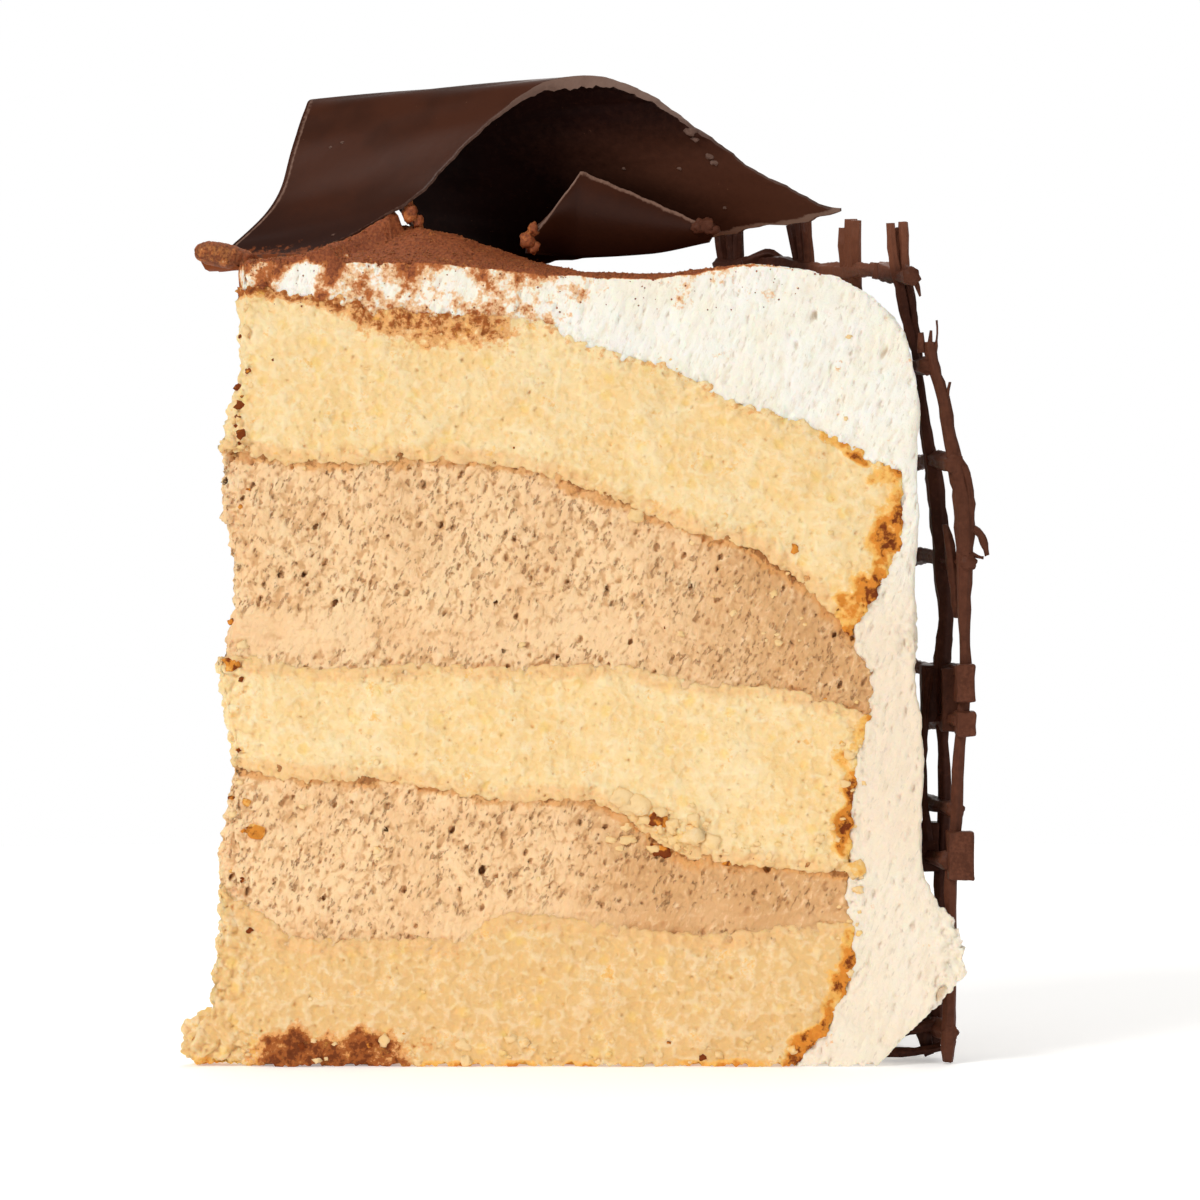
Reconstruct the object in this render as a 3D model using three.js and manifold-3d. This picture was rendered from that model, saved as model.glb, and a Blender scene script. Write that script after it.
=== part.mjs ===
// A tall wedge of layered mocha cake: three yellow sponges, two mocha creams between them, a coat of
// whipped cream over the top and round the rim, a piped chocolate lattice standing round the rim, and a
// wavy sheet of chocolate with a small shard under it on top.
// Millimetres, +Z up. The shown cut face looks towards -Y and the rim towards +X.
import * as THREE from 'three';
import { mergeVertices } from 'three/addons/utils/BufferGeometryUtils.js';
import Module from 'manifold-3d';

const wasm = await Module();
wasm.setup();

// ---------------------------------------------------------------- driving dimensions
const WEDGE_DEG = 42; // angle between the two cut faces
const APEX_X = -47.4; // where the cut faces would meet, left of the crumbled tip
const FACE_Y = -28; // plane of the shown cut face
const FIT_GAP = 0.3; // clearance between pieces that touch
const CREAM_SETBACK = 0.35; // the mocha creams lie this much behind the sponges on a cut face
const WARP = 0.45; // how far the cut faces and layers wander
const MOUND_HEIGHT = 5; // how far the top rises behind its cut edge
const MOUND_RADIUS = 24; // distance of the mound from the apex
const MOUND_SPREAD = 15; // its half width along the slice
const SHEET_THICKNESS = 1.05;
const SHEET_LIP = 0.8; // extra thickness of the rolled lip at its foot
const SHEET_FRONT_Y = 6; // the sheet's near edge, behind the shown cut face
const SHEET_AXIS_DEG = 24; // turn of its ridge from the cut face
const SHEET_DROP = 0.0275; // fall of the ridge per millimetre towards the tip
const SHARD_THICKNESS = 1;
const STRAND = 1.2; // half thickness of a piped strand
const LATTICE_START_DEG = 1.4;
const LATTICE_END_DEG = 41.3;
const LATTICE_RISE = 0.14; // how much the top ring climbs towards the far end, per degree; the others less
const RING_END = [1.7, 1.3, 1.9]; // half sizes of the thick cut end of a ring: outwards, along, up

// The sections across the wedge. The coat has two more close to the shown face, where it bulges.
const SECTIONS_DEG = [0, 5, 12, 20, 28, 35, WEDGE_DEG];
const COAT_SECTIONS_DEG = [0, 0.6, 1.3, ...SECTIONS_DEG.slice(1)];
const ALONG = 20; // steps from tip to rim
const UP = 4; // steps up each layer

// Profiles are points (distance from the apex, height), and profiles of the ends are (height, distance).
const SPONGE_1_TOP = [[4.2, 21], [6.5, 17], [12, 14.5], [27, 14.3], [33, 15.8], [36, 17.9], [45, 16.6], [62, 15.2], [78, 17]];
const MOCHA_1_TOP = [[4.2, 36], [22, 34.9], [34, 33.1], [46, 32.4], [52, 29.6], [58.5, 25.9], [67, 24.5], [78, 23.8]];
const SPONGE_2_TOP = [[4.2, 48.5], [13, 47.2], [47, 47.3], [61, 45.3], [70, 44.4], [79, 42]];
const MOCHA_2_TOP = [[4.2, 74.2], [11, 73.3], [34, 73.3], [46, 69.8], [57, 65.8], [67, 62], [73.5, 57], [78, 52.6]];
const SPONGE_3_TOP = [[4.2, 93], [16, 91.7], [24, 89.7], [38, 89.7], [47, 85.3], [57, 83.3], [63, 79.4], [74, 75.8], [83.2, 70.9]];
const TIP_BY_HEIGHT = [[0, 1.4], [9, 1.4], [18, 2.4], [23.5, 1.9], [31, 3.8], [43, 3.6], [47.5, 1.8], [52, 4.5], [63, 3.8], [71, 1.8], [78, 4.3], [84, 5.4], [96, 5]];
const RIM_BY_HEIGHT = [[0, 70.5], [4.3, 73.8], [14, 77.4], [26, 76.8], [36, 77.8], [45, 79.8], [53, 77.6], [59.5, 81.6], [64, 82.9], [71, 83.2]];
// The coat's outside, from the tip over the shoulder and down the rim, at the cut face and behind it.
const COAT_AT_CUT = [[4.8, 94.6], [15, 96.1], [24, 96.5], [40, 95.1], [52, 94.6], [58, 95], [66, 96.1], [76, 94.5], [81, 91.3], [84, 87.5],
  [85.4, 82.3], [85.6, 72], [84.9, 57], [86.2, 34], [85.5, 25], [89, 18.7], [91.7, 14], [89.9, 9.2], [84.6, 4.6], [80.5, 0]];
const COAT_BEHIND = [[4.8, 94.8], [15, 96.3], [24, 96.7], [40, 95.5], [52, 95], [58, 95.3], [66, 96.2], [76, 94.8], [81, 91.8], [84, 88],
  [85.2, 82.3], [85.5, 72], [85.2, 57], [85.6, 34], [85.5, 25], [85.8, 18.7], [85.6, 14], [84.7, 9.2], [82.8, 4.6], [80.2, 0]];
// The sheet's near edge (x, height) in the part's frame, and how far the sheet runs back from it along its ridge.
const SHEET_WAVE = [[-47.4, 99.3], [-43, 97.9], [-36.5, 98.1], [-29.9, 100.7], [-22.4, 105.3], [-13.4, 114.3], [-6.1, 119.1],
  [-1.5, 119.8], [4.9, 118], [12.2, 113.1], [19.4, 108], [29.8, 102.8], [38, 98.8]];
const SHEET_RUN = [[-47.4, 1.6], [-43, 5], [-36.5, 11.4], [-29.9, 16.2], [-20.2, 21.2], [-11.5, 28.4], [-2.4, 36.3], [8, 41.5], [20, 50], [30, 57],
  [38, 62]];
const SHEET_LEFT = -47.4;
const SHEET_RIGHT = 29.8;
const SHEET_RIGHT_GROWTH = 8.2; // the far end reaches this much further down the back slope
// The shard's lower and upper edges (x, height), and how far its foot stands behind its lip.
const SHARD_FOOT = [[-9.2, 98.8], [-1.6, 98.1], [6, 98.4], [13.4, 99.7]];
const SHARD_LIP = [[-9.2, 99.9], [-3.1, 108.3], [4, 105.3], [13.4, 101.1]];
const SHARD_LIP_Y = -20.5;
const SHARD_LEAN = 6;
// The lattice: each upright's place round the rim, its top and how much thicker it is; each ring's height at
// the near end, and how far its thick cut end sticks out there, if it has one; the centre line's distance
// from the apex by height.
const UPRIGHTS = [[2.6, 88.5, 1], [7.2, 102.2, 1], [20, 103.6, 1.35], [29.4, 105, 1], [39.5, 105.8, 1.35]];
const RINGS = [[3.7, 0.3], [13.9], [24.9, 1.4], [30.8], [41.2, 0.3], [47.3, 0.1], [60.8, 0.8], [72.4, 0], [83.8], [94.9, -0.7]];
const LATTICE_BY_HEIGHT = [[0, 88.6], [12, 88.2], [22, 88.4], [32, 88.8], [42, 89.7], [52, 90.3], [64, 90.2], [71, 89.2], [80, 87.2], [87, 86.2],
  [95, 85.1], [106, 83.9]];
const END_FLARE = 1.7; // the lattice's near end stands off the cream by this much more
const END_FLARE_DEG = 5;
const CRUMB = { x: 0.6, y: 2.4, half: [3.5, 2.6, 3] }; // the lump of sponge that hangs on at the foot of the tip

// ---------------------------------------------------------------- helpers
const RAD = Math.PI / 180;
const mix = (a, b, t) => a + (b - a) * t;
const smooth = (t) => {
  const c = Math.min(1, Math.max(0, t));
  return c * c * (3 - 2 * c);
};

// A smooth curve through points (x, y) with rising x, as a function of x: cubic, and without overshoot.
function curve(points) {
  const slope = points.slice(1).map((p, i) => (p[1] - points[i][1]) / (p[0] - points[i][0]));
  const tangent = points.map((_, i) => {
    if (i === 0) return slope[0];
    if (i === points.length - 1) return slope[i - 1];
    const [a, b] = [slope[i - 1], slope[i]];
    return a * b <= 0 ? 0 : (2 * a * b) / (a + b);
  });
  return (x) => {
    let i = 0;
    while (i < points.length - 2 && x > points[i + 1][0]) i += 1;
    const width = points[i + 1][0] - points[i][0];
    const t = Math.min(1, Math.max(0, (x - points[i][0]) / width));
    const rise = points[i + 1][1] - points[i][1];
    const bend = t * (1 - t) * ((1 - t) * (tangent[i] * width - rise) - t * (tangent[i + 1] * width - rise));
    return points[i][1] + rise * t + bend;
  };
}

// A gentle wandering of space, the same for neighbouring layers, so that they keep their distance.
function warp(p) {
  const settled = smooth(p.z / 6);
  const x = Math.sin(p.z * 0.83 + p.y * 0.6) + Math.sin(p.z * 0.37 - p.x * 0.21 + 1.3);
  const y = Math.sin(p.x * 0.47 + p.z * 0.31) + Math.sin(p.z * 0.71 - p.x * 0.33 + 2.1);
  const z = Math.sin(p.x * 0.29 + p.y * 0.41 + 0.7);
  return new THREE.Vector3(p.x + 0.4 * WARP * x, p.y + 0.6 * WARP * y, p.z + 0.5 * WARP * z * settled);
}

// A closed block whose six sides are grids. place(i, j, k) gives the point of a grid corner. The cells of
// its two i sides are split along the other diagonal, as those of a block that wraps round them are.
function block(ni, nj, nk, place) {
  const positions = [];
  const indices = [];
  const seen = new Map();
  const corner = (i, j, k) => {
    const key = (i * (nj + 1) + j) * (nk + 1) + k;
    if (!seen.has(key)) {
      seen.set(key, positions.length / 3);
      positions.push(...place(i, j, k).toArray());
    }
    return seen.get(key);
  };
  const side = (na, nb, at, flip, otherDiagonal = false) => {
    for (let a = 0; a < na; a += 1) {
      for (let b = 0; b < nb; b += 1) {
        const q = [at(a, b), at(a + 1, b), at(a + 1, b + 1), at(a, b + 1)];
        if (otherDiagonal) q.push(q.shift());
        if (flip) [q[1], q[3]] = [q[3], q[1]]; // the other way round, with the same diagonal
        indices.push(q[0], q[1], q[2], q[0], q[2], q[3]);
      }
    }
  };
  for (const far of [false, true]) {
    side(ni, nj, (a, b) => corner(a, b, far ? nk : 0), !far);
    side(ni, nk, (a, b) => corner(a, far ? nj : 0, b), far);
    side(nj, nk, (a, b) => corner(far ? ni : 0, a, b), !far, true);
  }
  const geometry = new THREE.BufferGeometry();
  geometry.setAttribute('position', new THREE.Float32BufferAttribute(positions, 3));
  geometry.setIndex(indices);
  return geometry;
}

const wedgePoint = (r, deg, z) => new THREE.Vector3(r * Math.cos(deg * RAD), r * Math.sin(deg * RAD), z);

// Turns a closed geometry into a manifold-3d solid.
function solid(geometry) {
  const bare = new THREE.BufferGeometry();
  bare.setAttribute('position', geometry.getAttribute('position'));
  if (geometry.index) bare.setIndex(geometry.index);
  const merged = mergeVertices(bare, 1e-4);
  return new wasm.Manifold(new wasm.Mesh({
    numProp: 3,
    vertProperties: new Float32Array(merged.getAttribute('position').array),
    triVerts: new Uint32Array(merged.index.array),
  }));
}

// Turns a manifold-3d solid back into a geometry.
function geometryOf(manifold) {
  const mesh = manifold.getMesh();
  const geometry = new THREE.BufferGeometry();
  geometry.setAttribute('position', new THREE.Float32BufferAttribute(mesh.vertProperties, 3));
  geometry.setIndex([...mesh.triVerts]);
  return geometry;
}

const cake = new THREE.Group();
function add(name, geometry, color, roughness) {
  geometry.computeVertexNormals();
  const mesh = new THREE.Mesh(geometry, new THREE.MeshStandardMaterial({ color, roughness, metalness: 0 }));
  mesh.name = name;
  cake.add(mesh);
  return mesh;
}

// ---------------------------------------------------------------- sponges and mocha creams
const tipAt = curve(TIP_BY_HEIGHT);
const rimAt = curve(RIM_BY_HEIGHT);
const NOMINAL_RIM = 79;
const flat = () => 0;
const levels = [flat, curve(SPONGE_1_TOP), curve(MOCHA_1_TOP), curve(SPONGE_2_TOP), curve(MOCHA_2_TOP), curve(SPONGE_3_TOP)];

// A corner of a layer's grid: its distance from the apex and its height, between two levels.
function columnAt(below, above, up, along) {
  const tipHeight = mix(levels[below](4.2), levels[above](4.2), up);
  const rimHeight = mix(levels[below](NOMINAL_RIM), levels[above](NOMINAL_RIM), up);
  const r = mix(tipAt(tipHeight), rimAt(rimHeight), along);
  const low = levels[below](r) + (below > 0 ? FIT_GAP / 2 : 0);
  const high = levels[above](r) - FIT_GAP / 2;
  return { r, z: mix(low, high, up) };
}

function layer(below, setback) {
  const faces = SECTIONS_DEG.length - 1;
  return block(ALONG, faces, UP, (i, j, k) => {
    const { r, z } = columnAt(below, below + 1, k / UP, i / ALONG);
    const p = wedgePoint(r, SECTIONS_DEG[j], z);
    if (j === 0) p.y += setback;
    if (j === faces) p.sub(new THREE.Vector3(-Math.sin(WEDGE_DEG * RAD), Math.cos(WEDGE_DEG * RAD), 0).multiplyScalar(setback));
    return warp(p);
  });
}

const crumb = new THREE.IcosahedronGeometry(1, 1);
const crumbPoints = crumb.getAttribute('position');
for (let n = 0; n < crumbPoints.count; n += 1) {
  const p = new THREE.Vector3().fromBufferAttribute(crumbPoints, n);
  const lump = 1 + 0.14 * Math.sin(5 * p.x + 3 * p.z) * Math.cos(4 * p.y - 2 * p.x);
  const [hx, hy, hz] = CRUMB.half;
  crumbPoints.setXYZ(n, CRUMB.x + p.x * hx * lump, CRUMB.y + p.y * hy * lump, Math.max(0, hz + p.z * hz * lump));
}

add('sponge_bottom', geometryOf(solid(layer(0, 0)).add(solid(crumb))), 0xf0c98e, 0.9);
add('mocha_cream_lower', layer(1, CREAM_SETBACK), 0xe2b98a, 0.7);
add('sponge_middle', layer(2, 0), 0xf7d69e, 0.9);
add('mocha_cream_upper', layer(3, CREAM_SETBACK), 0xe8bf90, 0.7);
add('sponge_top', layer(4, 0), 0xf9d69c, 0.9);

// ---------------------------------------------------------------- chocolate sheet
const waveAt = curve(SHEET_WAVE);
const runAt = curve(SHEET_RUN);
const axisTan = Math.tan(SHEET_AXIS_DEG * RAD);

// Height of the sheet's upper side over a point of the part's frame; the wave keeps its form along the ridge.
function sheetHeight(x, y) {
  const back = y - (FACE_Y + SHEET_FRONT_Y);
  return waveAt(x + back / axisTan) - (SHEET_DROP * back) / Math.sin(SHEET_AXIS_DEG * RAD);
}

function sheetNormal(x, y) {
  const step = 0.2;
  const dx = (sheetHeight(x + step, y) - sheetHeight(x - step, y)) / (2 * step);
  const dy = (sheetHeight(x, y + step) - sheetHeight(x, y - step)) / (2 * step);
  return new THREE.Vector3(-dx, -dy, 1).normalize();
}

const SHEET_STEPS = 26;
const sheet = block(SHEET_STEPS, 6, 1, (i, j, k) => {
  const back = j / 6;
  const right = SHEET_RIGHT + SHEET_RIGHT_GROWTH * back;
  const across = mix(SHEET_LEFT, right, i / SHEET_STEPS);
  const run = runAt(across) * back;
  const x = across - run * Math.cos(SHEET_AXIS_DEG * RAD);
  const y = FACE_Y + SHEET_FRONT_Y + run * Math.sin(SHEET_AXIS_DEG * RAD);
  const p = new THREE.Vector3(x, y, sheetHeight(x, y));
  const thickness = SHEET_THICKNESS + SHEET_LIP * (1 - smooth((across - SHEET_LEFT) / 6));
  p.addScaledVector(sheetNormal(x, y), k === 0 ? -thickness : 0);
  return p.sub(new THREE.Vector3(APEX_X, FACE_Y, 0));
});
add('chocolate_sheet', sheet, 0x3d231a, 0.35);

// ---------------------------------------------------------------- chocolate shard under the sheet
const shardFoot = curve(SHARD_FOOT);
const shardLip = curve(SHARD_LIP);
const SHARD_STEPS = 12;
const shard = block(SHARD_STEPS, 1, 5, (i, j, k) => {
  const x = mix(SHARD_FOOT[0][0], SHARD_FOOT[3][0], i / SHARD_STEPS);
  const up = k / 5;
  const lean = SHARD_LEAN * (1 - up) * (1 - up) * (1 - (0.75 * i) / SHARD_STEPS);
  const z = mix(shardFoot(x), shardLip(x), up);
  const across = new THREE.Vector3(0, 1, 0.5 * (1 - up)).normalize();
  const p = new THREE.Vector3(x + 0.8 * up, SHARD_LIP_Y + lean, z).addScaledVector(across, j * SHARD_THICKNESS);
  return p.sub(new THREE.Vector3(APEX_X, FACE_Y, 0));
});
add('chocolate_shard', shard, 0x3a2018, 0.35);

// ---------------------------------------------------------------- whipped cream coat
// The coat's inside follows the top sponge and then the rims of the layers, a fit gap away.
const inner = [];
for (let i = 0; i <= ALONG; i += 1) {
  const { r, z } = columnAt(4, 5, 1, i / ALONG);
  inner.push([r, z + FIT_GAP]);
}
inner[inner.length - 1][0] += FIT_GAP;
for (let below = 4; below >= 0; below -= 1) {
  for (let k = UP - 1; k >= 0; k -= 1) {
    const { r, z } = columnAt(below, below + 1, k / UP, 1);
    inner.push([r + FIT_GAP, z]);
  }
}

const lengths = (line) => line.reduce((sum, p, i) => [...sum, i ? sum[i - 1] + Math.hypot(p[0] - line[i - 1][0], p[1] - line[i - 1][1]) : 0], []);
const innerLength = lengths(inner);

// Points of the coat's outside, spread as the points of its inside are.
function outside(profile) {
  const path = new THREE.CatmullRomCurve3(profile.map(([r, z]) => new THREE.Vector3(r, z, 0)), false, 'centripetal');
  path.arcLengthDivisions = 400;
  return innerLength.map((length) => {
    const p = path.getPointAt(length / innerLength[innerLength.length - 1]);
    return [p.x, p.y];
  });
}
const outerAtCut = outside(COAT_AT_CUT);
const outerBehind = outside(COAT_BEHIND);

const CUT_SHARE = [1, 0.65, 0, 0, 0, 0, 0, 0, 0.35]; // how far each section has the form of the cut edge
const THICK = 2;
const coat = block(inner.length - 1, COAT_SECTIONS_DEG.length - 1, THICK, (i, j, k) => {
  const deg = COAT_SECTIONS_DEG[j];
  const bulge = CUT_SHARE[j];
  const outer = [mix(outerBehind[i][0], outerAtCut[i][0], bulge), mix(outerBehind[i][1], outerAtCut[i][1], bulge)];
  const out = k / THICK;
  const p = warp(wedgePoint(inner[i][0], deg, inner[i][1]));
  const q = wedgePoint(outer[0], deg, outer[1]);
  const isTop = smooth((outer[1] - 84) / 8);
  const fromCut = Math.min(q.y, Math.abs(q.y * Math.cos(WEDGE_DEG * RAD) - q.x * Math.sin(WEDGE_DEG * RAD)));
  const mound = MOUND_HEIGHT * Math.exp(-(((outer[0] - MOUND_RADIUS) / MOUND_SPREAD) ** 2)) * smooth(fromCut / 7);
  q.z += isTop * mound;
  const ripple = 0.22 * Math.sin(q.z * 0.5 + deg * 0.4) + 0.18 * Math.sin(deg * 0.9 + q.z * 0.23);
  q.x += ripple * (1 - isTop);
  const ceiling = sheetHeight(q.x + APEX_X, q.y + FACE_Y) - SHEET_THICKNESS / sheetNormal(q.x + APEX_X, q.y + FACE_Y).z;
  const underSheet = q.y > SHEET_FRONT_Y - 3 && q.x + APEX_X < SHEET_RIGHT;
  if (isTop > 0.5 && underSheet) q.z = Math.min(q.z, ceiling - 2 * FIT_GAP);
  if (q.z < 0.01) q.z = 0;
  const m = p.lerp(q, out);
  if (i === inner.length - 1) m.z = 0;
  return m;
});
// The coat's cross-section runs tip, top, rim, so the block comes out turned round when out is up.
add('whipped_cream', coat, 0xfbf2e2, 0.6);

// ---------------------------------------------------------------- chocolate lattice round the rim
const latticeAt = curve(LATTICE_BY_HEIGHT);
function latticePoint(deg, z, wander) {
  const flare = END_FLARE * (1 - smooth((deg - LATTICE_START_DEG) / END_FLARE_DEG)) * smooth((96 - z) / 20) * smooth((z + 12) / 20);
  const r = latticeAt(z) + flare + 0.25 * Math.sin(wander + z * 0.31 + deg * 0.2);
  return wedgePoint(r, deg + 0.35 * Math.sin(wander * 2 + z * 0.17), z);
}

function strand(points, steps, thicker = 1) {
  const corners = [];
  for (let n = 0; n < 6; n += 1) {
    const turn = (n + 0.5) * 60 * RAD;
    corners.push(new THREE.Vector2(Math.cos(turn), Math.sin(turn)).multiplyScalar(STRAND * thicker));
  }
  const extrudePath = new THREE.CatmullRomCurve3(points);
  return solid(new THREE.ExtrudeGeometry(new THREE.Shape(corners), { steps, bevelEnabled: false, extrudePath }));
}

const strands = [];
UPRIGHTS.forEach(([deg, top, thicker], n) => {
  const points = [];
  for (let s = 0; s <= 8; s += 1) points.push(latticePoint(deg, mix(-2, top, s / 8), n));
  strands.push(strand(points, 8, thicker));
});
RINGS.forEach(([height, reach], n) => {
  const points = [];
  for (let s = 0; s <= 6; s += 1) {
    const deg = mix(LATTICE_START_DEG, LATTICE_END_DEG, s / 6);
    const sag = 0.3 * Math.sin(deg * 0.35 + n * 1.7);
    const rise = LATTICE_RISE * deg * (height / 95) ** 3;
    points.push(latticePoint(deg, height + sag + rise, n + 20));
  }
  strands.push(strand(points, 6));
  if (reach === undefined) return;
  const end = new THREE.IcosahedronGeometry(1, 0).scale(...RING_END);
  const place = latticePoint(LATTICE_START_DEG + 0.3, height, n + 20);
  end.translate(place.x + reach, place.y, place.z);
  strands.push(solid(end));
});
const lattice = wasm.Manifold.union(strands).trimByPlane([0, 0, 1], 0);
add('chocolate_lattice', geometryOf(lattice), 0x55301f, 0.4);

cake.position.set(APEX_X, FACE_Y, 0);
export default cake;
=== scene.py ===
# %% [markdown]
# # A slice of mocha cake, dressed in Blender
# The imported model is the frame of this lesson: nine plain solids that already have the right size and
# place. Each of them gets a detailed piece here, with the crumb, bubbles, smears and crusts of the real
# cake. Everything is in metres, and the floor is at z = 0. Small sizes read better in millimetres, hence
# MM.

import math
import random

import bpy
import numpy as np
from mathutils import Euler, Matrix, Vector
from mathutils.bvhtree import BVHTree


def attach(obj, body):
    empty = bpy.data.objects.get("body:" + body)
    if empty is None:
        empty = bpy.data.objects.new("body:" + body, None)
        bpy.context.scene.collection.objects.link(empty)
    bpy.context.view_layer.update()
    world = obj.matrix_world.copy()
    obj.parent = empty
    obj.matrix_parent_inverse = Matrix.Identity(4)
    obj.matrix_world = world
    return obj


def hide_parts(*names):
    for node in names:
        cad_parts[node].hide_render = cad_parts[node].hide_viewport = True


MM = 0.001
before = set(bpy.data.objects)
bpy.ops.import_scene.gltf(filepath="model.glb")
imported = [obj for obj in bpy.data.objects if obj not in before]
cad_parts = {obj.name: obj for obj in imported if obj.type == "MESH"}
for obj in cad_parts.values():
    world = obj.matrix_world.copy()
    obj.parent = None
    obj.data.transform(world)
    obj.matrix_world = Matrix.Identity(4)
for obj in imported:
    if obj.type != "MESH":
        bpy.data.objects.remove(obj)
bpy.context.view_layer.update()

# %% [markdown]
# ## The camera
# The photograph looks squarely at the cut face from half its height, from about half a metre away. A
# pixel of the 1200 x 1200 picture is then 0.12 mm on the cut face. A short lens nearer by would fill the
# picture as well, but a long lens keeps the far parts almost as large as the near ones, as the photograph
# does.

# %% Camera
CUT_FACE_Y = -28 * MM
CAMERA_DISTANCE = 480 * MM
CAMERA_HEIGHT = 56 * MM

camera_place = (0, CUT_FACE_Y - CAMERA_DISTANCE, CAMERA_HEIGHT)
bpy.ops.object.camera_add(location=camera_place, rotation=(math.radians(90), 0, 0))
camera = bpy.context.object
camera.name = "camera"
camera.data.sensor_width = 36
camera.data.lens = 120
camera.data.clip_start = 0.01
camera.data.clip_end = 20
bpy.context.scene.camera = camera
print("camera", CAMERA_DISTANCE / MM, "mm from the cut face,", CAMERA_HEIGHT / MM, "mm high")

# %% [markdown]
# ## Floor and light
# A studio shot of food is bright all round: a white table, a white surround and large soft lights. The
# table could be a plane without end, but its far part would turn grey where no lamp reaches. So it is
# round, only as large as the lamps light it well, and glows a little so that its edge is not seen.

# %% White table
FLOOR_RADIUS = 0.42
FLOOR_GLOW = 0.3

bpy.ops.mesh.primitive_circle_add(vertices=96, radius=FLOOR_RADIUS, fill_type="NGON", location=(0, 0, 0))
floor = bpy.context.object
floor.name = "floor"
floor_paint = bpy.data.materials.new("floor_paint")
floor_paint.use_nodes = True
floor_shader = floor_paint.node_tree.nodes["Principled BSDF"]
floor_shader.inputs["Base Color"].default_value = (0.9, 0.9, 0.9, 1)
floor_shader.inputs["Roughness"].default_value = 0.9
floor_shader.inputs["Specular IOR Level"].default_value = 0.0
floor_shader.inputs["Emission Color"].default_value = (1, 1, 1, 1)
floor_shader.inputs["Emission Strength"].default_value = FLOOR_GLOW
floor.data.materials.append(floor_paint)
print("table", 2 * FLOOR_RADIUS, "m across")

# %% [markdown]
# The surround stands for white walls and a white ceiling. It is white where the camera sees it, but gives
# less light than that, so that the lamps still model the form. A Light Path node tells the two cases
# apart.

# %% White surround
SURROUND_LIGHT = 0.27

surround = bpy.data.worlds.new("surround")
bpy.context.scene.world = surround
surround.use_nodes = True
sky = surround.node_tree
seen = sky.nodes.new("ShaderNodeBackground")
seen.inputs["Color"].default_value = (1, 1, 1, 1)
seen.inputs["Strength"].default_value = 1.0
lit = sky.nodes["Background"]
lit.inputs["Color"].default_value = (1, 0.99, 0.97, 1)
lit.inputs["Strength"].default_value = SURROUND_LIGHT
ray = sky.nodes.new("ShaderNodeLightPath")
choose = sky.nodes.new("ShaderNodeMixShader")
sky.links.new(ray.outputs["Is Camera Ray"], choose.inputs[0])
sky.links.new(lit.outputs[0], choose.inputs[1])
sky.links.new(seen.outputs[0], choose.inputs[2])
sky.links.new(choose.outputs[0], sky.nodes["World Output"].inputs["Surface"])
bpy.context.scene.view_settings.view_transform = "Standard"
print("surround gives", SURROUND_LIGHT, "of the light of white")

# %% [markdown]
# Soft boxes stand at the left front, at the right front, above and behind. Area lamps are their like: the
# wider the lamp, the softer its shadow. Each is turned to the middle of the slice by the line from it to
# there, which saves working out angles by hand.


# %% Four soft lamps
def add_lamp(name, place, width, watts):
    """A square soft lamp that looks at the middle of the slice."""
    bpy.ops.object.light_add(type="AREA", location=place)
    lamp = bpy.context.object
    lamp.name = name
    aim = Vector((0, 0, 60 * MM)) - Vector(place)
    lamp.rotation_euler = aim.to_track_quat("-Z", "Y").to_euler()
    lamp.data.size = width
    lamp.data.energy = watts
    lamp.data.color = (1, 0.98, 0.95)
    print(name, watts, "W,", width, "m wide")


add_lamp("key_lamp", (-0.6, -0.7, 0.7), 0.35, 6.6)
add_lamp("fill_lamp", (0.8, -0.7, 0.35), 0.7, 1.7)
add_lamp("top_lamp", (0.1, 0.25, 1.0), 0.8, 4.2)
add_lamp("back_lamp", (0.3, 1.0, 0.5), 0.8, 3.2)

# %% [markdown]
# ## Copying a solid and making it fine enough to carve
# A CAD node is a handful of large triangles. To give it a crumb, its copy is rebuilt as an even net of
# small faces, which procedural textures then push in and out. It is like pressing the real texture into
# dough, and each shape is then real geometry. Points could be moved one by one in a loop, but an array
# moves all at once. So the first helpers read and write all points of a piece as one array.


# %% One piece at a time
def select_only(piece):
    """Operators act on all that is selected, so every step starts with one selected piece."""
    bpy.ops.object.select_all(action="DESELECT")
    piece.select_set(True)
    bpy.context.view_layer.objects.active = piece


def points_of(piece):
    """The piece's points as rows of x, y, z."""
    flat = np.empty(len(piece.data.vertices) * 3)
    piece.data.vertices.foreach_get("co", flat)
    return flat.reshape(-1, 3)


def normals_of(piece):
    """Which way the surface faces at each point."""
    flat = np.empty(len(piece.data.vertices) * 3)
    piece.data.vertex_normals.foreach_get("vector", flat)
    return flat.reshape(-1, 3)


def move_points(piece, points):
    piece.data.vertices.foreach_set("co", points.ravel())
    piece.data.update()


def apply_last_modifier(piece):
    select_only(piece)
    bpy.ops.object.modifier_apply(modifier=piece.modifiers[-1].name)


# %% [markdown]
# Tools of edit mode work on the selected faces. By hand they would be picked with the mouse. In code a
# rule picks them by the place of their centres, and the same rule holds however fine the net is.


# %% Choosing faces by their place
def select_faces(piece, wanted):
    """Enters edit mode with the faces selected for which wanted(centres) is true."""
    centres = np.empty(len(piece.data.polygons) * 3)
    piece.data.polygons.foreach_get("center", centres)
    select_only(piece)
    bpy.ops.object.mode_set(mode="EDIT")
    bpy.ops.mesh.select_mode(type="FACE")
    bpy.ops.mesh.select_all(action="DESELECT")
    bpy.ops.object.mode_set(mode="OBJECT")
    piece.data.polygons.foreach_set("select", wanted(centres.reshape(-1, 3)))
    bpy.ops.object.mode_set(mode="EDIT")


# %% [markdown]
# The node itself stays as it is, since it is the frame. Its copy loses the parent, the properties and the
# materials. The triangles of a node are loose, so points in the same place are merged before the faces
# are turned outwards.


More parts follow.
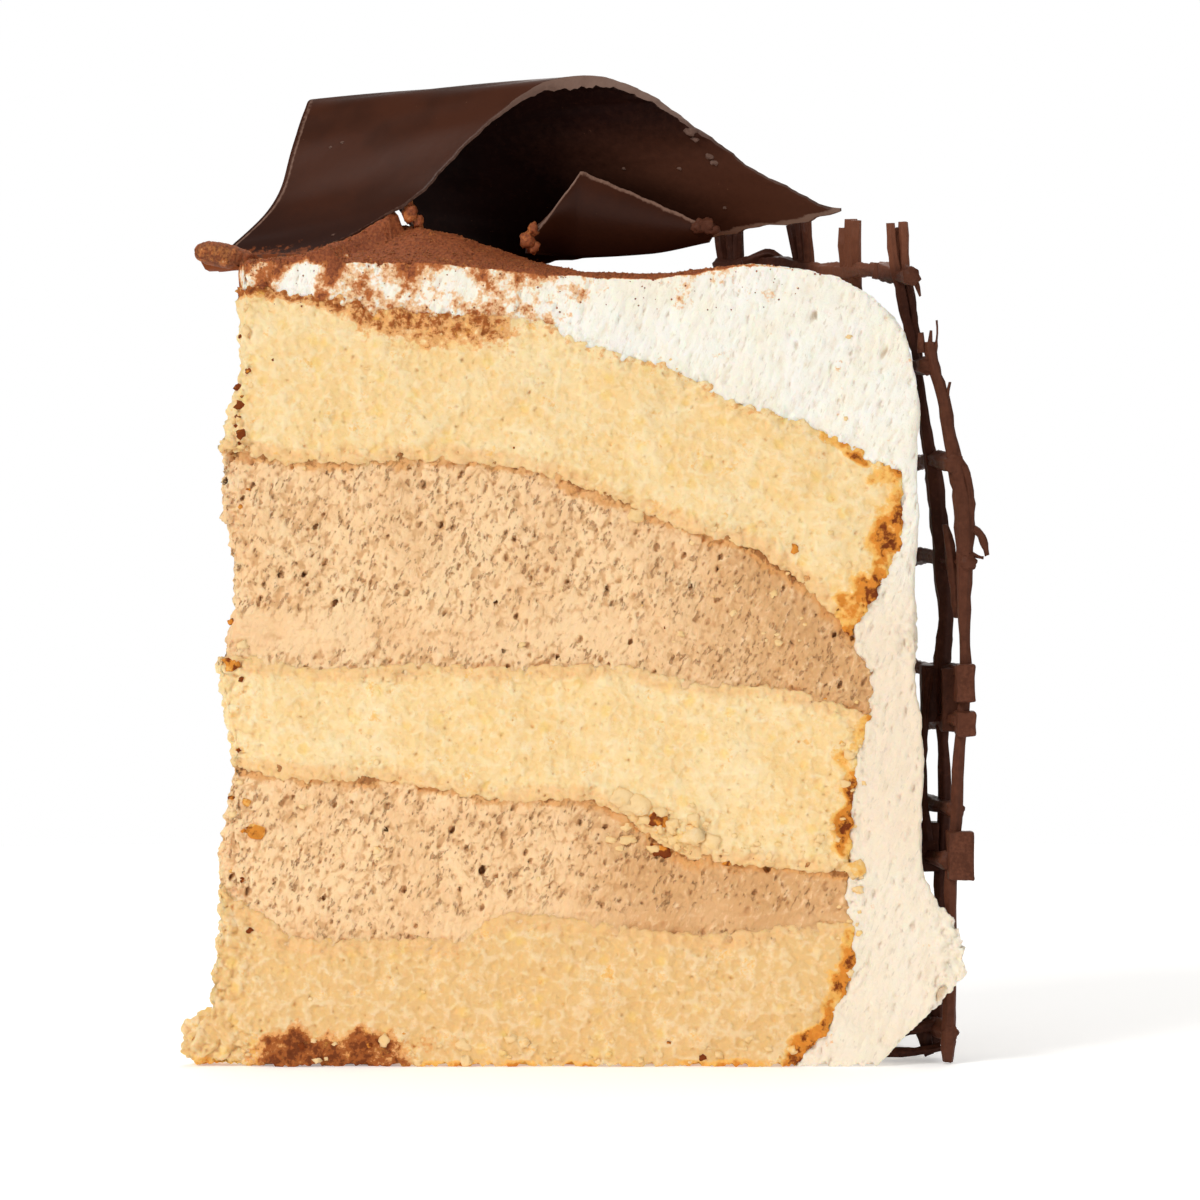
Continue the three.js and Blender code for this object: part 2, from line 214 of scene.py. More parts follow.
# %% A copy of a node
def copy_of_node(node, name):
    """A merged copy of a CAD node, ready for work."""
    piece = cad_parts[node].copy()
    piece.data = piece.data.copy()
    piece.name = name
    piece.data.name = name
    for key in list(piece.keys()):
        del piece[key]
    piece.parent = None
    piece.data.materials.clear()
    bpy.context.scene.collection.objects.link(piece)
    select_only(piece)
    bpy.ops.object.mode_set(mode="EDIT")
    bpy.ops.mesh.select_all(action="SELECT")
    bpy.ops.mesh.remove_doubles(threshold=0.001 * MM)
    bpy.ops.mesh.normals_make_consistent(inside=False)
    bpy.ops.object.mode_set(mode="OBJECT")
    return piece


# %% [markdown]
# Every finished piece takes the same last step: it gets its material, the node that it replaces, and
# the body that carries it. The print tells how many triangles it has, because a piece should stay under
# 200,000.


# %% The last step for each piece
def smooth_shading(piece):
    select_only(piece)
    bpy.ops.object.shade_smooth()


def dress(piece, node, slot, *materials):
    """The last step for each piece: its material, unless it has some, and its place in the frame."""
    for material in materials:
        piece.data.materials.append(material)
    if node:
        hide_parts(node)
    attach(piece, "root")
    piece.data.calc_loop_triangles()
    print(piece.name, len(piece.data.loop_triangles), "triangles")
    return piece


# %% [markdown]
# ## Shaping by numbers
# Nothing on a cake starts or ends at a sharp line. A smooth step leads from 0 to 1 over a given distance.
# A smooth line passes through a few points taken from the photograph, and a ripple wanders as a torn edge
# does. The line could be a Bezier curve, but a function can be asked for its height at any place, without
# a search along the curve.


# %% Smooth steps, smooth lines and ripples
def step_between(low, high, values):
    """0 below low, 1 above high and a smooth way between them."""
    t = np.clip((values - low) / (high - low), 0, 1)
    return t * t * (3 - 2 * t)


def smooth_line(points):
    """A function that passes smoothly through the points and never overshoots between them."""
    xs, ys = np.array(points, dtype=float).T
    slopes = np.diff(ys) / np.diff(xs)
    turns = [slopes[0]]
    for a, b in zip(slopes[:-1], slopes[1:]):
        turns.append(0 if a * b <= 0 else 2 * a * b / (a + b))
    turns.append(slopes[-1])
    turns = np.array(turns)

    def at(x):
        x = np.clip(x, xs[0], xs[-1])
        i = np.clip(np.searchsorted(xs, x, side="right") - 1, 0, len(xs) - 2)
        width = xs[i + 1] - xs[i]
        t = (x - xs[i]) / width
        rise = (2 * t**3 - 3 * t**2 + 1) * ys[i] + (3 * t**2 - 2 * t**3) * ys[i + 1]
        return rise + ((t**3 - 2 * t**2 + t) * turns[i] + (t**3 - t**2) * turns[i + 1]) * width

    return at


def ripple(seed, *waves):
    """A sum of sines with given (length, height): a line that wanders without repeating soon."""
    spread = random.Random(seed)
    parts = [(2 * math.pi / length, height, spread.uniform(0, 6.28)) for length, height in waves]
    return lambda x: sum(height * np.sin(x * turn + start) for turn, height, start in parts)


# %% [markdown]
# ## Pressing a texture into a piece
# A Displace modifier pushes points along their normals by a texture. Clouds give broad unevenness and
# grain, and Voronoi gives cells. With a colour ramp only the lowest part of a noise is left, and pressed
# inwards that makes pores. An empty can turn and stretch a texture, for tears that the knife pulled to
# one side. Sculpting by hand would look as good, but a texture covers a whole cut face and comes out the
# same each time.


# %% Textures to press with
def cloud_texture(name, size, depth=2, hard=False):
    """Soft lumps; a larger depth adds finer ones, and hard makes ridges of them."""
    texture = bpy.data.textures.new(name, "CLOUDS")
    texture.noise_scale = size
    texture.noise_depth = depth
    texture.noise_type = "HARD_NOISE" if hard else "SOFT_NOISE"
    return texture


def cell_texture(name, size):
    """Rounded cells with creases between them."""
    texture = bpy.data.textures.new(name, "VORONOI")
    texture.noise_scale = size
    return texture


def pit_texture(name, size, low, high, basis="VORONOI_F1"):
    """Uneven spots. Pressed in, they are deepest where the noise is under low, and end above high."""
    texture = cloud_texture(name, size, 1)
    texture.noise_basis = basis
    texture.use_color_ramp = True
    deep, flat = texture.color_ramp.elements
    deep.position = low
    deep.color = (0, 0, 0, 1)
    flat.position = high
    flat.color = (1, 1, 1, 1)
    return texture


def press(piece, texture, strength, where="", middle=0.5, turned_by=None):
    """Pushes the points along their normals by a texture, inside a vertex group if one is named."""
    modifier = piece.modifiers.new("press", "DISPLACE")
    modifier.texture = texture
    modifier.texture_coords = "LOCAL"
    if turned_by:
        modifier.texture_coords = "OBJECT"
        modifier.texture_coords_object = turned_by
    modifier.strength = strength
    modifier.mid_level = middle
    modifier.vertex_group = where
    apply_last_modifier(piece)


def empty_for_slant(name, degrees, stretch):
    """An empty whose long axis leans to the right, for tears that the knife pulled."""
    bpy.ops.object.empty_add(location=(0, 0, 0), rotation=(0, math.radians(degrees), 0))
    slant = bpy.context.object
    slant.name = name
    slant.scale = (1, 1, stretch)
    bpy.context.view_layer.update()
    return slant


# %% [markdown]
# Two kinds of numbers belong to the points. A vertex group says how strongly a press works at each point.
# An attribute keeps a number that the material reads by its name, such as how deep a pore is there.
# Weights are rounded to a few steps, because each step is one call for all its points.

# %% A number for each point
WEIGHT_STEPS = 20


def mark(piece, name, weights):
    """A vertex group from an array of weights between 0 and 1."""
    group = piece.vertex_groups.new(name=name)
    steps = np.round(np.clip(weights, 0, 1) * WEIGHT_STEPS).astype(int)
    for step in range(1, WEIGHT_STEPS + 1):
        chosen = np.nonzero(steps == step)[0]
        if len(chosen):
            group.add(chosen.tolist(), step / WEIGHT_STEPS, "REPLACE")


def keep_attribute(piece, name, values):
    """A number for every point, which the material reads by name."""
    attribute = piece.data.attributes.new(name, "FLOAT", "POINT")
    attribute.data.foreach_set("value", np.clip(values, -1, 2).astype(np.float32))


# %% [markdown]
# ## Where a point of the cake is
# The wedge is a piece of a round cake. So its places are best told from the point where the two cut faces
# would meet: how far out a point is, and how far behind each cut face. That needs only the angle of the
# wedge and its tip.

# %% Places in the wedge
WEDGE = math.radians(42)
APEX = np.array([-47.4 * MM, CUT_FACE_Y])


def distance_out(points):
    """How far a point is from the tip, as seen from above."""
    return np.hypot(points[:, 0] - APEX[0], points[:, 1] - APEX[1])


def behind_front(points):
    """How far a point is inside the shown cut face."""
    return points[:, 1] - CUT_FACE_Y


def behind_back(points):
    """How far a point is inside the far cut face."""
    x, y = points[:, 0] - APEX[0], points[:, 1] - APEX[1]
    return x * math.sin(WEDGE) - y * math.cos(WEDGE)


def inside_cuts(points):
    """How far a point is from the nearer cut face."""
    return np.minimum(behind_front(points), behind_back(points))


rim = distance_out(points_of(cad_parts["sponge_bottom"])).max()
print("the bottom sponge reaches", round(rim / MM, 1), "mm out from the tip")

# %% [markdown]
# A cream colours the sponge beside it, and the crust lies where the coat begins. So each point needs its
# distance to the other layers. Comparing it with every face would take too long. A tree of the faces
# finds the nearest one at once, and only points near a cut are asked.


# %% Distances to other layers
def surface_tree(*pieces):
    """The faces of all these pieces, sorted for rays and for nearest places."""
    corners, faces = [], []
    for piece in pieces:
        start = len(corners)
        corners.extend(v.co.copy() for v in piece.data.vertices)
        faces.extend([start + i for i in p.vertices] for p in piece.data.polygons)
    return BVHTree.FromPolygons(corners, faces)


def nearest_gap(points, nodes, chosen, reach=6 * MM):
    """For the chosen points, how far the nearest surface of these CAD nodes is; reach for all others."""
    tree = surface_tree(*(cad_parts[node] for node in nodes))
    gaps = np.full(len(points), reach)
    for i in np.nonzero(chosen)[0]:
        found = tree.find_nearest(points[i], reach)
        if found[0] is not None:
            gaps[i] = found[3]
    return gaps


# %% [markdown]
# The copy swells a little, so that it closes the gap to its neighbours. The voxel remesher then rebuilds
# it as an even net, which is softened so that the old folds go. Where two layers touch, nothing shows and
# the net is thinned. The shown cut face gets a net twice as fine. A fine net all over would look the same
# and be far heavier.

# %% An even net, fine where it shows
LAYERS_INSIDE = ["sponge_bottom", "mocha_cream_lower", "sponge_middle", "mocha_cream_upper", "sponge_top"]
NET = 0.4 * MM
SHOWN = 1.0 * MM
HIDDEN = 2.2 * MM
HIDDEN_RATIO = 0.12


def swell(piece, amount, overlap):
    """Moves faces outwards by amount, and those at a neighbour further, so that the layers interlock."""
    points, out = points_of(piece), normals_of(piece)
    front = np.array([0, -1.0, 0])
    back = np.array([-math.sin(WEDGE), math.cos(WEDGE), 0])
    nearest = np.where((behind_front(points) < behind_back(points))[:, None], front, back)
    sideways = out - (out * nearest).sum(1)[:, None] * nearest
    points += amount * out + overlap * sideways * [0.6, 0.6, 1.0]
    points[:, 2] = np.maximum(points[:, 2], 0)
    move_points(piece, points)


def remesh(piece, net, softening):
    """An even net of small faces, smoothed a few times."""
    modifier = piece.modifiers.new("net", "REMESH")
    modifier.mode = "VOXEL"
    modifier.voxel_size = net
    apply_last_modifier(piece)
    modifier = piece.modifiers.new("soften", "SMOOTH")
    modifier.factor = 0.5
    modifier.iterations = softening
    apply_last_modifier(piece)


def fine_copy(node, name, growth, overlap=0.0, net=NET, outer_skin=0.0):
    """The node as an even net: thinned where it is hidden, and twice as fine on the shown cut face."""
    piece = copy_of_node(node, name)
    swell(piece, growth, overlap)
    remesh(piece, net, 3)

    def hidden(centres):
        covered = inside_cuts(centres) > HIDDEN
        if outer_skin:
            covered &= nearest_gap(centres, LAYERS_INSIDE, covered, 2 * MM) < outer_skin
        else:
            covered &= distance_out(centres) > 8 * MM
        return covered

    select_faces(piece, hidden)
    bpy.ops.mesh.decimate(ratio=HIDDEN_RATIO)
    bpy.ops.object.mode_set(mode="OBJECT")
    select_faces(piece, lambda centres: behind_front(centres) < SHOWN)
    bpy.ops.mesh.subdivide(number_cuts=1)
    bpy.ops.object.mode_set(mode="OBJECT")
    smooth_shading(piece)
    print(name, len(piece.data.vertices), "points in its net")
    return piece


# %% [markdown]
# ## Small tools for materials
# Every pattern reads Object coordinates, which are metres here, so a pattern's size can be given in
# millimetres. Nodes could be placed by hand in the editor. Written as short functions, a finish reads
# from top to bottom, like the layers of paint that it is.


# %% Nodes and links
def new_material(name):
    material = bpy.data.materials.new(name)
    material.use_nodes = True
    return material


def add_node(material, kind, **settings):
    """A shader node of this kind, with its settings."""
    node = material.node_tree.nodes.new(kind)
    for key, value in settings.items():
        setattr(node, key, value)
    return node


def link(material, out, into):
    material.node_tree.links.new(out, into)


def places(material, lean=0, stretch=1):
    """Object coordinates; a lean in degrees and a stretch make patterns long and tilted to the right."""
    coordinates = add_node(material, "ShaderNodeTexCoord")
    mapping = add_node(material, "ShaderNodeMapping", vector_type="TEXTURE")
    mapping.inputs["Rotation"].default_value = (0, math.radians(lean), 0)
    mapping.inputs["Scale"].default_value = (1, 1, stretch)
    link(material, coordinates.outputs["Object"], mapping.inputs["Vector"])
    return mapping.outputs["Vector"]


# %% [markdown]
# Noise gives lumps and grain, and Voronoi gives spots. Spreading the values between two limits turns
# either into patches, with a soft border if the limits are far apart and a sharp one if they are near.
# One noise can make the border of another wobble, because stains and dust never end in an even line.


# %% Patterns
def grain(material, size, detail=4, rough=0.55, at=None):
    """A noise whose lumps are about size metres wide."""
    noise = add_node(material, "ShaderNodeTexNoise")
    noise.inputs["Scale"].default_value = 1 / size
    noise.inputs["Detail"].default_value = detail
    noise.inputs["Roughness"].default_value = rough
    link(material, at or places(material), noise.inputs["Vector"])
    return noise.outputs["Fac"]


def cells(material, size):
    """Distance to the middle of the nearest cell, 0 in the middle."""
    voronoi = add_node(material, "ShaderNodeTexVoronoi")
    voronoi.inputs["Scale"].default_value = 1 / size
    link(material, places(material), voronoi.inputs["Vector"])
    return voronoi.outputs["Distance"]


def between(material, value, low, high, to_low=0.0, to_high=1.0):
    """Spreads value from low..high to to_low..to_high, and no further."""
    spread = add_node(material, "ShaderNodeMapRange", interpolation_type="SMOOTHSTEP")
    turned = low > high
    spread.inputs["From Min"].default_value = high if turned else low
    spread.inputs["From Max"].default_value = low if turned else high
    spread.inputs["To Min"].default_value = to_high if turned else to_low
    spread.inputs["To Max"].default_value = to_low if turned else to_high
    link(material, value, spread.inputs["Value"])
    return spread.outputs["Result"]


def combine(material, how, a, b):
    """a and b added, subtracted or multiplied; each is a number or an output."""
    node = add_node(material, "ShaderNodeMath", operation=how)
    for socket, value in zip(node.inputs, (a, b)):
        if isinstance(value, (int, float)):
            socket.default_value = value
        else:
            link(material, value, socket)
    return node.outputs[0]


def wobble(material, value, noise, amount):
    """value, raised and lowered by up to about amount by a noise."""
    shift = combine(material, "MULTIPLY", combine(material, "SUBTRACT", noise, 0.5), amount * 2)
    return combine(material, "ADD", value, shift)


# %% [markdown]
# Colours are given as a screen shows them, which makes them easy to compare with a photograph, and are
# turned into amounts of light. One colour goes over another by a share between 0 and 1. The last helper
# plugs the colour and the fine relief into the shader. Numbers that are the same all over, such as
# roughness, are set on the shader itself.


# %% Colours and layers of paint
def paint(red, green, blue):
    """A colour given as a screen shows it, from 0 to 255, turned into the light it stands for."""
    levels = [v / 255 for v in (red, green, blue)]
    light = [v / 12.92 if v <= 0.04045 else ((v + 0.055) / 1.055) ** 2.4 for v in levels]
    return (*light, 1)


def mix_paint(material, share, a, b):
    """a where share is 0, b where it is 1; each is a colour or a colour output."""
    node = add_node(material, "ShaderNodeMix", data_type="RGBA")
    sockets = [s for s in node.inputs if s.type == "RGBA"]
    for socket, value in zip(sockets, (a, b)):
        if isinstance(value, tuple):
            socket.default_value = value
        else:
            link(material, value, socket)
    factor = [s for s in node.inputs if s.type == "VALUE"][0]
    if isinstance(share, (int, float)):
        factor.default_value = share
    else:
        link(material, share, factor)
    return [s for s in node.outputs if s.type == "RGBA"][0]


def stored(material, name):
    """The number that the piece keeps for each point under this name."""
    return add_node(material, "ShaderNodeAttribute", attribute_name=name).outputs["Fac"]


LIGHT_REACH = (1.0, 0.55, 0.3)


def finish_material(material, colour, bumps, height, roughness, specular, soft=0.0, soft_depth=1.0):
    """Plugs the colour and the relief into the shader and sets the numbers that hold all over."""
    shader = material.node_tree.nodes["Principled BSDF"]
    link(material, colour, shader.inputs["Base Color"])
    shader.inputs["Roughness"].default_value = roughness
    shader.inputs["Specular IOR Level"].default_value = specular
    shader.inputs["Subsurface Weight"].default_value = soft
    shader.inputs["Subsurface Radius"].default_value = LIGHT_REACH
    shader.inputs["Subsurface Scale"].default_value = soft_depth * MM
    bump = add_node(material, "ShaderNodeBump")
    bump.inputs["Strength"].default_value = 1.0
    bump.inputs["Distance"].default_value = height * MM
    link(material, bumps, bump.inputs["Height"])
    link(material, bump.outputs["Normal"], shader.inputs["Normal"])
    return material


# %% [markdown]
# ## Sponge
# Baked sponge is a foam: fine, dry and yellow. Against the tin it browns. Its torn cell walls stand out
# as crests, painted paler, and its pores are painted darker: painted light and painted shade. The
# material follows what the carving stores with each point: how far it came out or went in ("relief"), how
# deep it lies ("hollow"), how near the browned rim is ("crust"), how near a cream is ("soak"), and how
# much cocoa fell on it. Light goes a little way into sponge, and red light furthest. It would run right
# through a loose crumb and leave it greenish, so crumbs get the same material without that.


# %% Sponge material
def sponge_material(name, soft):
    m = new_material(name)
    broad = grain(m, 8 * MM, 3)
    patchy = grain(m, 4.5 * MM, 3, 0.6)
    middle = grain(m, 2.4 * MM, 4, 0.6)
    small = grain(m, 1.1 * MM, 4, 0.6)
    fine = grain(m, 0.4 * MM, 3, 0.7)
    spots = cells(m, 3.4 * MM)
    relief = stored(m, "relief")
    base = mix_paint(m, between(m, broad, 0.35, 0.65), paint(252, 223, 172), paint(249, 214, 155))
    base = mix_paint(m, stored(m, "shade"), base, paint(236, 197, 138))
    base = mix_paint(m, between(m, middle, 0.52, 0.7, 0, 0.6), base, paint(255, 236, 200))
    base = mix_paint(m, between(m, small, 0.48, 0.3, 0, 0.5), base, paint(244, 203, 134))
    base = mix_paint(m, between(m, spots, 0.3, 0.12, 0, 0.5), base, paint(248, 210, 122))
    # Painted light on the crests and painted shade in the hollows, by "relief".
    base = mix_paint(m, between(m, relief, 0.1, 0.9, 0, 0.35), base, paint(255, 238, 204))
    base = mix_paint(m, between(m, relief, -0.1, -0.9, 0, 0.6), base, paint(247, 204, 134))
    base = mix_paint(m, between(m, fine, 0.62, 0.75, 0, 0.2), base, paint(236, 196, 132))
    # Painted shade in the pores, by "hollow".
    base = mix_paint(m, between(m, stored(m, "hollow"), 0.2, 0.9, 0, 0.6), base, paint(228, 176, 106))
    near_cream = wobble(m, wobble(m, stored(m, "soak"), patchy, 0.8), small, 0.4)
    base = mix_paint(m, between(m, near_cream, 0.4, 1.0, 0, 0.7), base, paint(242, 196, 138))
    cocoa = wobble(m, wobble(m, stored(m, "cocoa"), small, 0.9), fine, 0.3)
    base = mix_paint(m, between(m, cocoa, 0.3, 0.6, 0, 0.8), base, paint(232, 166, 98))
    base = mix_paint(m, between(m, cocoa, 0.62, 0.9), base, paint(170, 98, 50))
    base = mix_paint(m, between(m, cocoa, 0.95, 1.2), base, paint(124, 66, 36))
    uneven = combine(m, "MULTIPLY", stored(m, "crust"), between(m, patchy, 0.4, 0.58, 0.4, 1.18))
    crust = wobble(m, wobble(m, uneven, middle, 0.8), fine, 0.3)
    base = mix_paint(m, between(m, crust, 0.14, 0.46, 0, 0.85), base, paint(247, 190, 96))
    base = mix_paint(m, between(m, crust, 0.46, 0.84, 0, 0.95), base, paint(222, 141, 54))
    burnt = wobble(m, crust, small, 1.3)
    base = mix_paint(m, between(m, burnt, 0.98, 1.5), base, paint(128, 62, 28))
    bumps = combine(m, "ADD", fine, combine(m, "MULTIPLY", small, 0.8))
    return finish_material(m, base, bumps, height=0.13, roughness=0.95, specular=0.08, soft=soft)


SPONGE = sponge_material("sponge", soft=0.35)
CRUMB = sponge_material("sponge_crumb", soft=0.0)
print(SPONGE.name, len(SPONGE.node_tree.nodes), "nodes")

# %% [markdown]
# ## Mocha cream
# Mocha cream is whipped too, but wet: the knife drags it, so its bubbles are torn open along one slant,
# with smooth smears between them. The smallest tears are too fine to throw a shadow, so they are bumped
# here and their shade is painted dark. The larger ones are carved, and their crests and pits are painted
# lighter and darker: painted light and painted shade.


# %% Mocha cream material
def mocha_material():
    m = new_material("mocha_cream")
    slanted = places(m, lean=24, stretch=2.2)
    broad = grain(m, 9 * MM, 3)
    patchy = grain(m, 3.6 * MM, 3, 0.6)
    drag = grain(m, 0.6 * MM, 4, 0.6, slanted)
    fine = grain(m, 0.35 * MM, 3, 0.7)
    tears = grain(m, 0.5 * MM, 2, 0.5, slanted)
    chance = grain(m, 1.9 * MM, 3)
    relief = stored(m, "relief")
    torn = combine(m, "SUBTRACT", 1.0, stored(m, "smear"))
    base = mix_paint(m, between(m, broad, 0.35, 0.65), paint(252, 215, 168), paint(245, 204, 155))
    base = mix_paint(m, wobble(m, stored(m, "far"), broad, 0.3), base, paint(218, 168, 114))
    base = mix_paint(m, between(m, drag, 0.52, 0.72, 0, 0.5), base, paint(255, 222, 178))
    # Painted light on the crests and painted shade in the hollows, by "relief".
    base = mix_paint(m, between(m, relief, 0.05, 0.8, 0, 0.65), base, paint(255, 224, 182))
    base = mix_paint(m, between(m, relief, -0.05, -0.8, 0, 0.75), base, paint(214, 164, 112))
    base = mix_paint(m, between(m, fine, 0.6, 0.75, 0, 0.3), base, paint(222, 172, 120))
    # Painted shade in the finest tears, too small to throw a shadow of their own.
    tear = combine(m, "MULTIPLY", between(m, tears, 0.42, 0.32), between(m, chance, 0.4, 0.54))
    tear = combine(m, "MULTIPLY", tear, torn)
    base = mix_paint(m, combine(m, "MULTIPLY", tear, 0.7), base, paint(178, 126, 82))
    # Painted shade in the carved pits, by "hollow".
    hollow = wobble(m, stored(m, "hollow"), chance, 0.35)
    base = mix_paint(m, between(m, hollow, 0.2, 0.7, 0, 0.75), base, paint(204, 154, 106))
    base = mix_paint(m, between(m, hollow, 0.7, 1.5, 0, 0.9), base, paint(122, 78, 44))
    soak = wobble(m, wobble(m, wobble(m, stored(m, "soak"), patchy, 0.9), chance, 0.5), fine, 0.25)
    base = mix_paint(m, between(m, soak, 0.4, 0.8, 0, 0.8), base, paint(226, 164, 98))
    base = mix_paint(m, between(m, soak, 0.9, 1.15, 0, 0.85), base, paint(164, 106, 58))
    bumps = combine(m, "SUBTRACT", drag, tear)
    return finish_material(m, base, bumps, height=0.22, roughness=0.75, specular=0.2, soft=0.25)


MOCHA = mocha_material()
print(MOCHA.name, len(MOCHA.node_tree.nodes), "nodes")

# %% [markdown]
# ## Whipped cream
# Whipped cream is almost white. Where the sieve dusted it, cocoa covers it: dense on the top ("cocoa"
# near 1), and in flecks and brown smears towards the edge, where the knife dragged cocoa down the cut.
# The dusting could be a material of its own, but its border is made of flecks, so it is paint over the
# cream.


# %% Whipped cream material
def cream_material():
    m = new_material("whipped_cream")
    slanted = places(m, lean=20, stretch=3.0)
    streaks = grain(m, 0.7 * MM, 4, 0.6, slanted)
    strokes = grain(m, 0.45 * MM, 2, 0.5, slanted)
    flecks = grain(m, 0.35 * MM, 3, 0.6)
    patches = grain(m, 1.2 * MM, 4, 0.65)
    wide_patches = grain(m, 4.2 * MM, 3, 0.6)
    warm = grain(m, 7 * MM, 3)
    relief = stored(m, "relief")
    base = mix_paint(m, between(m, warm, 0.35, 0.65), paint(255, 251, 240), paint(252, 244, 228))
    base = mix_paint(m, stored(m, "low"), base, paint(246, 228, 204))
    base = mix_paint(m, between(m, streaks, 0.46, 0.3, 0, 0.5), base, paint(234, 220, 200))
    # Painted shade in the fine slanted tears.
    base = mix_paint(m, between(m, strokes, 0.38, 0.28, 0, 0.55), base, paint(216, 202, 184))
    # Painted shade in the hollows ("relief") and in the pits ("hollow").
    base = mix_paint(m, between(m, relief, -0.1, -0.9, 0, 0.6), base, paint(232, 214, 190))
    base = mix_paint(m, between(m, stored(m, "hollow"), 0.2, 1.0, 0, 0.8), base, paint(196, 168, 134))
    cocoa = wobble(m, wobble(m, stored(m, "cocoa"), wide_patches, 0.75), patches, 0.6)
    cocoa = wobble(m, cocoa, flecks, 0.25)
    base = mix_paint(m, between(m, cocoa, 0.3, 0.5, 0, 0.8), base, paint(238, 184, 122))
    base = mix_paint(m, between(m, cocoa, 0.48, 0.68), base, paint(190, 112, 58))
    dark = mix_paint(m, between(m, flecks, 0.35, 0.65), paint(158, 86, 46), paint(126, 64, 34))
    base = mix_paint(m, between(m, cocoa, 0.7, 0.92), base, dark)
    bumps = combine(m, "ADD", streaks, combine(m, "MULTIPLY", flecks, 0.5))
    soft = {"soft": 0.35, "soft_depth": 1.2}
    return finish_material(m, base, bumps, height=0.2, roughness=0.65, specular=0.25, **soft)


CREAM = cream_material()
print(CREAM.name, len(CREAM.node_tree.nodes), "nodes")

# %% [markdown]
# ## Chocolate
# Dark chocolate looks brown only where light falls straight on it. Set against a sheet of plastic it is
# half glossy, with dust and faint marks. A scraped place is paler and dull: "broken" says where. Along
# the sheet's right lip the same pale colour is a painted reflection. The cocoa and the dust lie alike on
# every piece of it, so one function makes all its finishes.


# %% Chocolate material
def chocolate_material(name, dark, light, scraped, tint, tint_by, roughness, specular, height):
    """dark and light are the two main colours, and tint is that of the places stored as tint_by."""
    m = new_material(name)
    cloud = grain(m, 9 * MM, 3)
    dust = grain(m, 0.45 * MM, 2, 0.6)
    patches = grain(m, 0.9 * MM, 4, 0.7)
    base = mix_paint(m, between(m, cloud, 0.35, 0.65), dark, light)
    base = mix_paint(m, wobble(m, stored(m, tint_by), patches, 0.3), base, tint)
    base = mix_paint(m, between(m, dust, 0.74, 0.8, 0, 0.5), base, paint(120, 82, 60))
    # Scraped places are paler; on the sheet's right lip this paint is a painted reflection.
    broken = wobble(m, stored(m, "broken"), dust, 0.35)
    base = mix_paint(m, between(m, broken, 0.3, 0.8), base, scraped)
    cocoa = wobble(m, stored(m, "cocoa"), patches, 0.7)
    base = mix_paint(m, between(m, cocoa, 0.4, 0.7), base, paint(132, 70, 38))
    relief = combine(m, "ADD", grain(m, 3.5 * MM, 3), combine(m, "MULTIPLY", patches, 0.25))
    return finish_material(m, base, relief, height, roughness, specular)


# %% [markdown]
# The smooth outer side of the sheet, its broken rim, its inner side and the piped strands differ in
# colour and gloss. The inner side is painted near black: painted shade under the arch. Each also has
# places of another tint: darker low on the sheet ("deep"), paler along the rim ("pale"), partly the dull
# broken edge and partly painted light along the crest, and lighter where a strand or the inner side faces
# the light ("lit"), which is painted light.

# %% Four finishes of chocolate
SHEET_CHOCOLATE = chocolate_material(
    "sheet_chocolate",
    dark=paint(56, 26, 12),
    light=paint(68, 33, 17),
    scraped=paint(126, 96, 82),
    tint=paint(46, 22, 14),
    tint_by="deep",
    roughness=0.34,
    specular=0.12,
    height=0.03,
)
RIM_CHOCOLATE = chocolate_material(
    "broken_chocolate",
    dark=paint(56, 32, 24),
    light=paint(72, 44, 34),
    scraped=paint(120, 94, 82),
    tint=paint(119, 94, 83),
    tint_by="pale",
    roughness=0.6,
    specular=0.1,
    height=0.3,
)
# The inner side's near-black colours are painted shade under the arch; "lit" paints light on it.
SHADED_INNER_CHOCOLATE = chocolate_material(
    "inner_chocolate_painted_shade",
    dark=paint(24, 11, 9),
    light=paint(31, 14, 11),
    scraped=paint(122, 96, 84),
    tint=paint(74, 43, 31),
    tint_by="lit",
    roughness=0.4,
    specular=0.02,
    height=0.03,
)
PIPED_CHOCOLATE = chocolate_material(
    "piped_chocolate",
    dark=paint(50, 25, 17),
    light=paint(66, 35, 25),
    scraped=paint(112, 68, 50),
    tint=paint(124, 76, 56),
    tint_by="lit",
    roughness=0.45,
    specular=0.07,
    height=0.3,
)
print(len(bpy.data.materials), "materials in the file")

# %% [markdown]
# ## The three sponges
# Torn sponge is uneven in four sizes: broad waves, the cells of its foam, fine grain, and pores. Each
# size is a texture of its own, so that each can be pressed in as deep as it should be. The tip crumbles
# more than the rest, and the borders between the layers are ragged.

# %% Textures for sponge
crumb_broad = cloud_texture("crumb_broad", 4.5 * MM)
crumb_cells = cell_texture("crumb_cells", 1.3 * MM)
crumb_fine = cloud_texture("crumb_fine", 0.6 * MM, 3)
crumb_pores = pit_texture("crumb_pores", 1.1 * MM, 0.16, 0.28)
sponge_ragged = cloud_texture("sponge_ragged", 1.4 * MM, 3)
tip_lumps = cloud_texture("tip_lumps", 2.0 * MM, 3, hard=True)
under_edge = ripple(31, (5.1, 0.3), (1.9, 0.3), (0.8, 0.15))
crust_reach = ripple(32, (9, 0.8), (3.7, 0.6))
ALL_LAYERS = LAYERS_INSIDE + ["whipped_cream"]
NEAR_CUT = 2.5 * MM
PORE_DEPTH = 0.5 * MM
FLOOR_GAP = 0.02 * MM
print(len(bpy.data.textures), "textures for sponge")

# %% [markdown]
# The materials paint a torn surface lighter on its crests and darker in its hollows and pits: painted
# light and painted shade, on top of what the lamps make. So the carving stores how far each point went
# out or in, and how deep its pits go. Crumbs came off along the lower edge, and no point may go through
# the floor.


